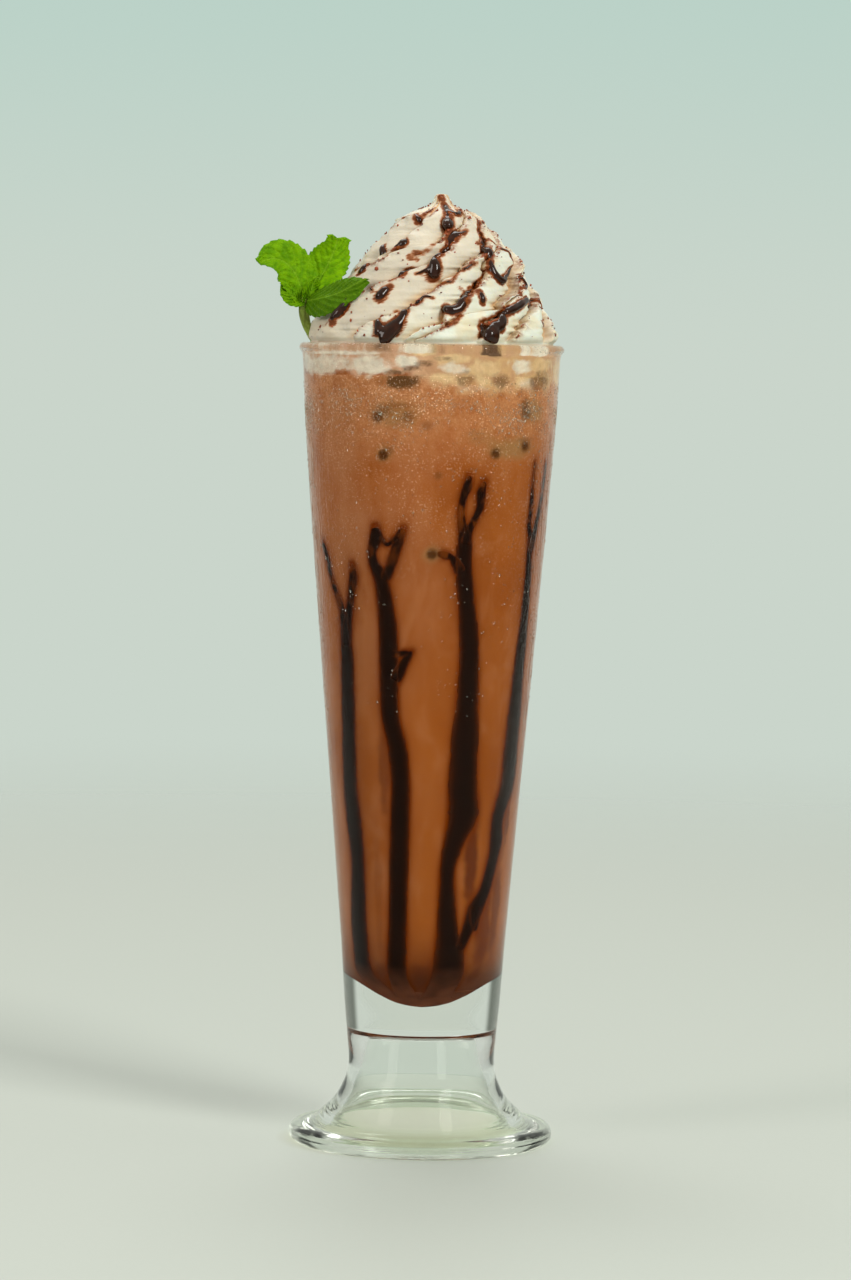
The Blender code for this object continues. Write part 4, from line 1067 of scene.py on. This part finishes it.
def creamMaterial():
    material, tree, shader = newMaterial("whippedCream", cream["rough"], 1.4)
    shader.inputs["Specular IOR Level"].default_value = cream["shine"]
    shader.inputs["Subsurface Weight"].default_value = cream["glow"]
    shader.inputs["Subsurface Radius"].default_value = (1.0, 0.75, 0.45)
    shader.inputs["Subsurface Scale"].default_value = 0.8 * mm
    place, tint = masks(tree, "paint"), masks(tree, "tint")
    tone = mixColour(tree, mottle(tree, 8.0, 0.45, 0.75, 3.0), cream["white"], cream["warmToneAndShade"])
    # painted shade: the lower part of each face turns warm; the line above mixes the same colour in at random
    tone = mixColour(tree, times(tree, tint["Blue"], mottle(tree, 10.0, 0.25, 0.6, 3.0)), tone, cream["warmToneAndShade"])
    # painted shade on the ledge just over each lip's foot
    tone = mixColour(tree, times(tree, tint["Green"], 0.5), tone, cream["ledgeShade"])
    tone = mixColour(tree, masks(tree, "turn")["Red"], tone, cream["shade"])
    # painted shade in the creases between folds
    tone = mixColour(tree, times(tree, tint["Red"], mottle(tree, 6.0, 0.2, 0.6, 3.0)), tone, cream["crease"])
    worn = frayed(tree, place["Red"], mottle(tree, 1.6, 0.3, 0.7, 3.0), 0.24)
    tone = mixColour(tree, times(tree, ramp(tree, worn, 0.5, 0.8), 0.85), tone, cream["film"])
    tone = mixColour(tree, ramp(tree, worn, 0.68, 0.92), tone, cream["stain"])
    dusted = times(tree, place["Blue"], mottle(tree, 0.9, 0.34, 0.56, 4.0))
    tone = mixColour(tree, times(tree, dusted, 0.9), tone, cream["cocoa"])
    sunk = mixColour(tree, masks(tree, "band")["Red"], placeGroup(tree, brewColour, {}),
                     placeGroup(tree, bandColour, {}))
    tree.links.new(mixColour(tree, place["Green"], tone, sunk), shader.inputs["Base Color"])
    bump(tree, shader, mottle(tree, 1.4, 0.2, 0.8, 6.0), 0.16, 0.5)
    return material


# Distance of every point to the cream at one place, less half a width
def creamGap(spots, angle, z, half):
    return np.linalg.norm(spots - np.array(creamPoint(angle, z)), axis=1) - half


def makeCream():
    columns = [(lobe, share) for lobe in range(len(cream["lips"])) for share in cream["shares"]]
    rim = creamLevel(cream["start"])
    angles = [math.degrees(math.atan2(p.x, -p.y)) for p in (ridgePoint(*column, rim) for column in columns)]
    size, points, places = len(columns), [], []
    levels = [cream["bottom"] + 7.8 * k / 26 for k in range(27)]  # the part inside the glass
    for z in levels:
        points += [at(a, bowlRadius(z) + cream["grip"], z) for a in angles]
        places += [(a, z, 0.5, 0) for a in angles]
    points += [at(a, 34.95, 229.5) for a in angles]
    places += [(a, 229.5, 0.5, 0) for a in angles]
    rings = cream["rings"]
    for r in range(rings):
        z = cream["start"] + (cream["end"] - cream["start"]) * (1 - (1 - r / (rings - 1)) ** 1.2)
        level = creamLevel(z)
        calm = min(1.0, (z - 230.2) / 3)
        for (lobe, share), angle in zip(columns, angles):
            # soft dents all over, and jagged lips
            p = ridgePoint(lobe, share, level)
            lip = math.exp(-((share - 0.12) / 0.09) ** 2)
            jag = (noise.noise(Vector((lobe * 9.7, z * 0.7, 3.1))) * 0.6
                   + noise.noise(Vector((lobe * 5.3, z * 2.2, 7.7))) * 0.4)
            n = noise.noise(p * 0.17) * 0.9 + noise.noise(p * 0.5) * 0.3 + lip * jag
            points.append(ridgePoint(lobe, share, level, n * calm))
            places.append((angle, z, share, lobe))
    total = rings + len(levels) + 1
    faces = ringFaces(size, total)
    for r, z, x in ((0, cream["bottom"], 0.0), (total - 1, form["creamTip"], cream["lean"])):
        points.append(Vector((x, 0, z)))
        places.append((0.0, z, 0.5, 0))
        faces += [(r * size + k, r * size + (k + 1) % size, len(points) - 1) for k in range(size)]
    made = makeMesh("whippedCream", points, faces, creamMaterial())
    faceOut(made)
    spots = np.array([tuple(p) for p in points])
    # a thin brown film spreads beside each run and in the stains
    film = np.zeros(len(points))
    for run, _ in sauceRuns():
        for angle, z, width in along(run, 6 * (len(run) - 1)):
            reach = 1.5 if abs(angle) < 55 else 0.8
            near = np.clip(1 - creamGap(spots, angle, z, spread(width) / 2) / reach, 0, 1)
            film = np.maximum(film, near * min(1.0, 0.74 + width * 0.2))
    for angle, z, width in sauce["stains"]:
        film = np.maximum(film, np.clip(0.75 - creamGap(spots, angle, z, width / 2) / 1.2, 0, 0.8))
    place = np.array(places)
    share, height = place[:, 2], place[:, 1]
    above = np.clip((height - 230.5) / 1.5, 0, 1)
    # cocoa along the lips, in patches, with less on the right
    patchy = np.array([noise.noise(Vector((lobe * 3.7, z * 0.33, 1.9))) for _, z, _, lobe in places])
    lips = np.exp(-((share - 0.085) / 0.055) ** 2) * np.clip(0.68 + patchy * 2.4, 0, 1) * above
    side = facing(place[:, 0])
    lips *= 1 - 0.65 * np.clip((side - 50) / 12, 0, 1) * np.clip((110 - side) / 12, 0, 1)
    # the left side turns away from the key lamp
    paint(made, "turn", (0.85 * np.clip(-side / 55, 0, 1) * np.clip((side + 178) / 40, 0, 1),))
    paint(made, "paint", (film * above, np.clip((230.6 - height) / 1.0, 0, 1), lips))
    # painted shade: warm creases at both ends of a fold, a ledge just over the lip's foot, and the lower part
    # of each face
    crease = np.maximum(np.clip(1 - share / 0.06, 0, 1), np.clip((share - 0.76) / 0.22, 0, 1) ** 1.3)
    ledgeShade = np.exp(-((share - 0.05) / 0.035) ** 2)
    paint(made, "tint", (crease * above, ledgeShade * above, 0.7 * np.clip((share - 0.3) / 0.6, 0, 1) * above))
    bandPaint(made, place[:, 0], height, np.array([bowlRadius(min(z, 229.0)) for z in height]))
    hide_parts("cream")
    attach(made, "root")
    return made


def sauceMaterial():
    material, tree, shader = newMaterial("chocolateSauce", sauce["rough"], 1.5)
    shader.inputs["Specular IOR Level"].default_value = sauce["shine"]
    tone = mixColour(tree, mottle(tree, 2.5, 0.4, 0.75, 3.0), sauce["dark"], sauce["mid"])
    worn = frayed(tree, masks(tree, "paint")["Red"], mottle(tree, 1.0, 0.35, 0.65), 0.3)
    tone = mixColour(tree, ramp(tree, worn, 0.4, 0.9), tone, sauce["film"])
    tree.links.new(tone, shader.inputs["Base Color"])
    bump(tree, shader, mottle(tree, 4.0, 0.2, 0.8, 1.0), 0.02, 0.1)
    return material


# The piece with its modifiers applied, under a name of its own
def settled(piece, name):
    mesh = bpy.data.meshes.new_from_object(piece.evaluated_get(bpy.context.evaluated_depsgraph_get()))
    bpy.data.objects.remove(piece)
    made = bpy.data.objects.new(name, mesh)
    bpy.context.scene.collection.objects.link(made)
    return made


# Height of each point above the cream, as a share of where the sauce counts as thick
def thickness(surface, mesh):
    return [(surface.find_nearest(v.co)[3] or 0.0) / mm / sauce["melted"] for v in mesh.vertices]


# Runs are laid on the cream as tubes, melted into one and drawn smooth where they stand clear of it
def makeSauce(cover):
    points, faces, around = [], [], 14
    for number, (run, gain) in enumerate(sauceRuns()):
        steps = 7 * (len(run) - 1)
        samples = along(run, steps)
        centres = [creamPoint(a, z, 0.05) for a, z, _ in samples]
        inner = [(a + b * 2 + c) / 4 for a, b, c in zip(centres, centres[1:], centres[2:])]
        centres = [centres[0]] + inner + [centres[-1]]
        start = len(points)
        for k, (angle, z, width) in enumerate(samples):
            forward = (centres[min(k + 1, steps)] - centres[max(k - 1, 0)]).normalized()
            outward = at(angle, 1.0, 0.35).normalized()
            side = forward.cross(outward).normalized()
            outward = side.cross(forward)
            end = min(k, steps - k)  # a run is thinner at its ends
            thin = min(1.0, 0.5 + 0.2 * end) * (1 + 0.22 * noise.noise(Vector((number * 3.1, k * 0.16, 0.7))))
            tall = min(sauce["tallest"], sauce["base"] + gain * width)
            for s in range(around):
                turn = 2 * math.pi * s / around
                points.append(centres[k] + side * math.cos(turn) * spread(width) / 2 * thin
                              + outward * math.sin(turn) * tall * thin)
        faces += tubeFaces(start, around, steps + 1)
    rough = makeMesh("sauceRough", points, faces, sauceMaterial())
    faceOut(rough)
    remesh = rough.modifiers.new("melt", "REMESH")
    remesh.mode, remesh.voxel_size, remesh.use_smooth_shade = "VOXEL", sauce["voxel"] * mm, True
    smooth = rough.modifiers.new("settle", "SMOOTH")
    smooth.factor, smooth.iterations = 0.6, 5
    pulled = settled(rough, "saucePulled")
    surface = BVHTree.FromObject(cover, bpy.context.evaluated_depsgraph_get())
    thick = pulled.vertex_groups.new(name="thick")
    for index, share in enumerate(thickness(surface, pulled.data)):
        thick.add([index], min(1.0, share), "REPLACE")
    tension = pulled.modifiers.new("tension", "SMOOTH")
    tension.factor, tension.iterations, tension.vertex_group = 0.8, 36, "thick"
    made = settled(pulled, "chocolateSauce")
    paint(made, "paint", ([max(0.0, 1 - share) for share in thickness(surface, made.data)],))
    print("sauce triangles", sum(len(p.vertices) - 2 for p in made.data.polygons))
    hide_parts("cream")
    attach(made, "root")


creamPiece = makeCream()
makeSauce(creamPiece)
print("cream made")

# The sprig: the stem's row of places and radii, then each leaf's base, middle and tip, the way across it
# at its base and at its tip, its half width and how blunt its tip is.
mint = {
    "stem": ((-31.2, -2.6, 223.0, 0.8), (-32.6, -2.6, 227.0, 0.8), (-33.9, -2.7, 230.6, 0.85),
             (-35.8, -2.9, 234.6, 1.15), (-36.7, -3.0, 238.6, 1.4), (-36.5, -3.0, 243.0, 1.3)),
    "leaves": (
        ((-36.6, -3.0, 241.6), (-40.6, -3.4, 257.8), (-49.4, -6.0, 251.9), (0.95, 0.30, 0.15),
         (0.30, 0.50, 0.80), 6.2, 0.25),
        ((-36.0, -2.4, 242.2), (-29.4, 0.6, 251.6), (-27.4, -0.4, 259.8), (0.8, -0.50, 0.20),
         (1.0, 0.25, -0.05), 6.1, 0.62),
        ((-36.2, -4.0, 241.9), (-30.8, -17.0, 241.2), (-18.9, -23.4, 247.9), (0.15, 0.55, 0.82),
         (-0.1, 0.60, 0.78), 5.2, 0.12),
        ((-36.8, -3.6, 241.6), (-40.6, -5.2, 242.2), (-43.2, -5.6, 246.2), (0.5, 0.5, 0.7), (0.8, 0.3, 0.3),
         2.9, 0.12),
        ((-36.2, -3.8, 241.8), (-35.0, -6.6, 244.6), (-33.2, -6.2, 248.4), (0.9, 0.4, 0.1), (0.9, 0.4, 0.0),
         2.2, 0.12),
    ),
    "thickness": 0.5, "rough": 0.52, "shine": 0.08, "glow": 0.12, "shade": (0.12, 0.0, 0.72, 0.25, 0.1),
    "green": srgb(122, 172, 2), "deep": srgb(92, 144, 2), "dark": srgb(58, 92, 6),
    "vein": srgb(150, 194, 48), "stalk": srgb(146, 164, 74), "stalkEdge": srgb(96, 104, 44),
}


def leafMaterial():
    material, tree, shader = newMaterial("mintLeaf", mint["rough"], 1.42)
    shader.inputs["Specular IOR Level"].default_value = mint["shine"]
    shader.inputs["Subsurface Weight"].default_value = mint["glow"]
    shader.inputs["Subsurface Radius"].default_value = (0.4, 0.8, 0.1)
    shader.inputs["Subsurface Scale"].default_value = 0.8 * mm
    place = masks(tree, "paint")
    tone = mixColour(tree, mottle(tree, 2.2, 0.35, 0.7, 4.0), mint["green"], mint["deep"])
    tone = mixColour(tree, place["Blue"], tone, mint["dark"])
    tone = mixColour(tree, times(tree, place["Red"], 0.45), tone, mint["vein"])
    stalk = mixColour(tree, mottle(tree, 2.0, 0.35, 0.65, 3.0, 3.0), mint["stalk"], mint["stalkEdge"])
    tone = mixColour(tree, place["Green"], tone, stalk)
    tree.links.new(tone, shader.inputs["Base Color"])
    height = maths(tree, "SUBTRACT", mottle(tree, 0.8, 0.2, 0.8, 3.0), place["Red"])
    bump(tree, shader, height, 0.28, 0.8)
    return material


# One leaf, curved along its length and folded at its vein, with a toothed edge and raised ribs
def leafShape(number, base, middle, tip, sideBase, sideTip, halfWidth, tipShare):
    rows, columns = 66, 32
    base, middle, tip = Vector(base), Vector(middle), Vector(tip)
    top, bottom, vein = [], [], []
    half = mint["thickness"] / 2
    for i in range(rows + 1):
        t = i / rows
        centre = base * (1 - t) ** 2 + middle * 2 * t * (1 - t) + tip * t * t
        forward = (middle - base).lerp(tip - middle, t).normalized()
        side = Vector(sideBase).lerp(Vector(sideTip), t)
        side = (side - forward * side.dot(forward)).normalized()
        normal = side.cross(forward)
        # widest in the middle, with teeth along the edge
        whole = 0.16 + 0.84 * math.sin(math.pi * min(1.0, t * 0.94 + 0.06)) ** 0.55
        ease = max(0.0, (t - 0.86) / 0.14) ** 1.6
        width = halfWidth * (whole * (1 - ease) + tipShare * ease)
        saw = (t * 10 * halfWidth / 5 + 0.3) % 1.0
        for j in range(columns + 1):
            s = j / columns * 2 - 1
            reach = width * (0.96 + 0.10 * (saw if t > 0.12 else 0.3) * abs(s) ** 6)
            # seven ribs slant away from the vein; the blade folds up, waves and puckers
            ribs = abs(((t * 7 - abs(s) * 2.6) % 1.0) - 0.5) * 2
            lift = 0.22 * halfWidth * abs(s) + 0.25 * math.sin(9 * t + 3 * s + number)
            lift += 0.22 * math.cos(math.pi * ribs) * min(1.0, 3 * abs(s)) * (1 - s * s * 0.4)
            point = centre + side * s * reach + normal * lift
            lift = 0.16 * noise.noise(point * 0.9) + 0.08 * noise.noise(point * 2.2)
            notch = 0.12 * halfWidth * (1 - abs(abs(s) - 0.55) / 0.55) if tipShare > 0.5 else 0.0
            point += normal * lift + forward * max(0.0, (t - 0.9) / 0.1) * (notch + 0.5 * saw * abs(s))
            thin = half * (1 - 0.7 * abs(s) ** 3)
            top.append(point + normal * thin)
            bottom.append(point - normal * thin)
            vein.append(max(math.exp(-(abs(s) * width / 0.22) ** 2), 0.6 * max(0.0, ribs - 0.82) / 0.18))
    size = columns + 1
    faces = []
    shift = len(top)
    for i in range(rows):
        for k in range(columns):
            a, b = i * size + k, (i + 1) * size + k
            faces.append((a, b, b + 1, a + 1))
            faces.append((a + 1 + shift, b + 1 + shift, b + shift, a + shift))
    border = list(range(size)) + [i * size + size - 1 for i in range(1, rows + 1)]
    border += [rows * size + k for k in range(size - 2, -1, -1)] + [i * size for i in range(rows - 1, 0, -1)]
    faces += [(b, a, a + shift, b + shift) for a, b in zip(border, border[1:] + border[:1])]
    return top + bottom, faces, vein + vein


def makeMint():
    points, faces, veins, stalks, shades = [], [], [], [], []
    for number, row in enumerate(mint["leaves"]):
        some, sides, vein = leafShape(number, *row)
        faces += [tuple(i + len(points) for i in f) for f in sides]
        points += some
        veins += vein
        stalks += [0.0] * len(some)
        shades += [mint["shade"][number]] * len(some)
    steps, around = 30, 16
    line = along(mint["stem"], steps)
    start = len(points)
    for k, (x, y, z, radius) in enumerate(line):
        forward = (Vector(line[min(k + 1, steps)][:3]) - Vector(line[max(k - 1, 0)][:3])).normalized()
        side = forward.cross(Vector((0, 1, 0))).normalized()
        up = side.cross(forward)
        for s in range(around):
            a = math.radians(360 / around * s)
            squared = radius * (1 + 0.08 * math.cos(4 * a))
            points.append(Vector((x, y, z)) + (side * math.cos(a) + up * math.sin(a)) * squared)
            veins.append(0.0)
            stalks.append(1.0)
            shades.append(0.0)
    faces += tubeFaces(start, around, steps + 1)
    made = makeMesh("mintSprig", points, faces, leafMaterial())
    faceOut(made)
    paint(made, "paint", (veins, stalks, shades))
    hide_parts("mint_sprig")
    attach(made, "root")


makeMint()
print("mint made")

# Cocoa crumbs along the lips, and a few loose ones; sizes are radii in mm.
crumbs = {
    "seed": 31, "rough": 0.6, "lips": 900, "loose": 110, "size": (0.14, 0.42), "looseSize": (0.1, 0.24),
    "lowest": 231.5, "colour": srgb(172, 78, 38), "dark": srgb(96, 42, 20),
}


def crumbMaterial():
    material, tree, shader = newMaterial("cocoaCrumb", crumbs["rough"])
    tone = mixColour(tree, mottle(tree, 1.6, 0.35, 0.65), crumbs["colour"], crumbs["dark"])
    tree.links.new(tone, shader.inputs["Base Color"])
    bump(tree, shader, mottle(tree, 0.3, 0.2, 0.8), 0.05, 0.5)
    return material


def makeCrumbs():
    draw = random.Random(crumbs["seed"])
    shape = bmesh.new()
    bmesh.ops.create_icosphere(shape, subdivisions=1, radius=1.0)
    corners = [v.co.copy() for v in shape.verts]
    sides = [tuple(v.index for v in f.verts) for f in shape.faces]
    shape.free()
    places = [(creamPoint(a, z, 0.15), w / 2) for a, z, w in sauce["spots"]]
    lobes = len(cream["lips"])
    for _ in range(crumbs["lips"]):
        lobe, z = draw.randrange(lobes), crumbs["lowest"] + 39 * draw.random() ** 1.15
        if noise.noise(Vector((lobe * 3.7, z * 0.33, 1.9))) < -0.12 and draw.random() < 0.8:
            continue
        share = draw.gauss(0.09, 0.03) if draw.random() < 0.8 else abs(draw.gauss(0.16, 0.08))
        places.append((ridgePoint(lobe, max(0.0, share), creamLevel(z), 0.08), draw.uniform(*crumbs["size"])))
    for _ in range(crumbs["loose"]):
        z = crumbs["lowest"] + 40 * draw.random() ** 1.1
        places.append((ridgePoint(draw.randrange(lobes), draw.random(), creamLevel(z), 0.05),
                       draw.uniform(*crumbs["looseSize"])))
    points, faces = [], []
    for centre, size in places:
        stretch = Vector([draw.uniform(0.6, 1.35) for _ in range(3)])
        start = len(points)
        for corner in corners:
            reach = Vector(c * s for c, s in zip(corner, stretch)) * size * draw.uniform(0.7, 1.15)
            points.append(centre + reach)
        faces += [tuple(i + start for i in f) for f in sides]
    made = makeMesh("cocoaCrumbs", points, faces, crumbMaterial(), smooth=False)
    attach(made, "root")


makeCrumbs()
print("crumbs made")
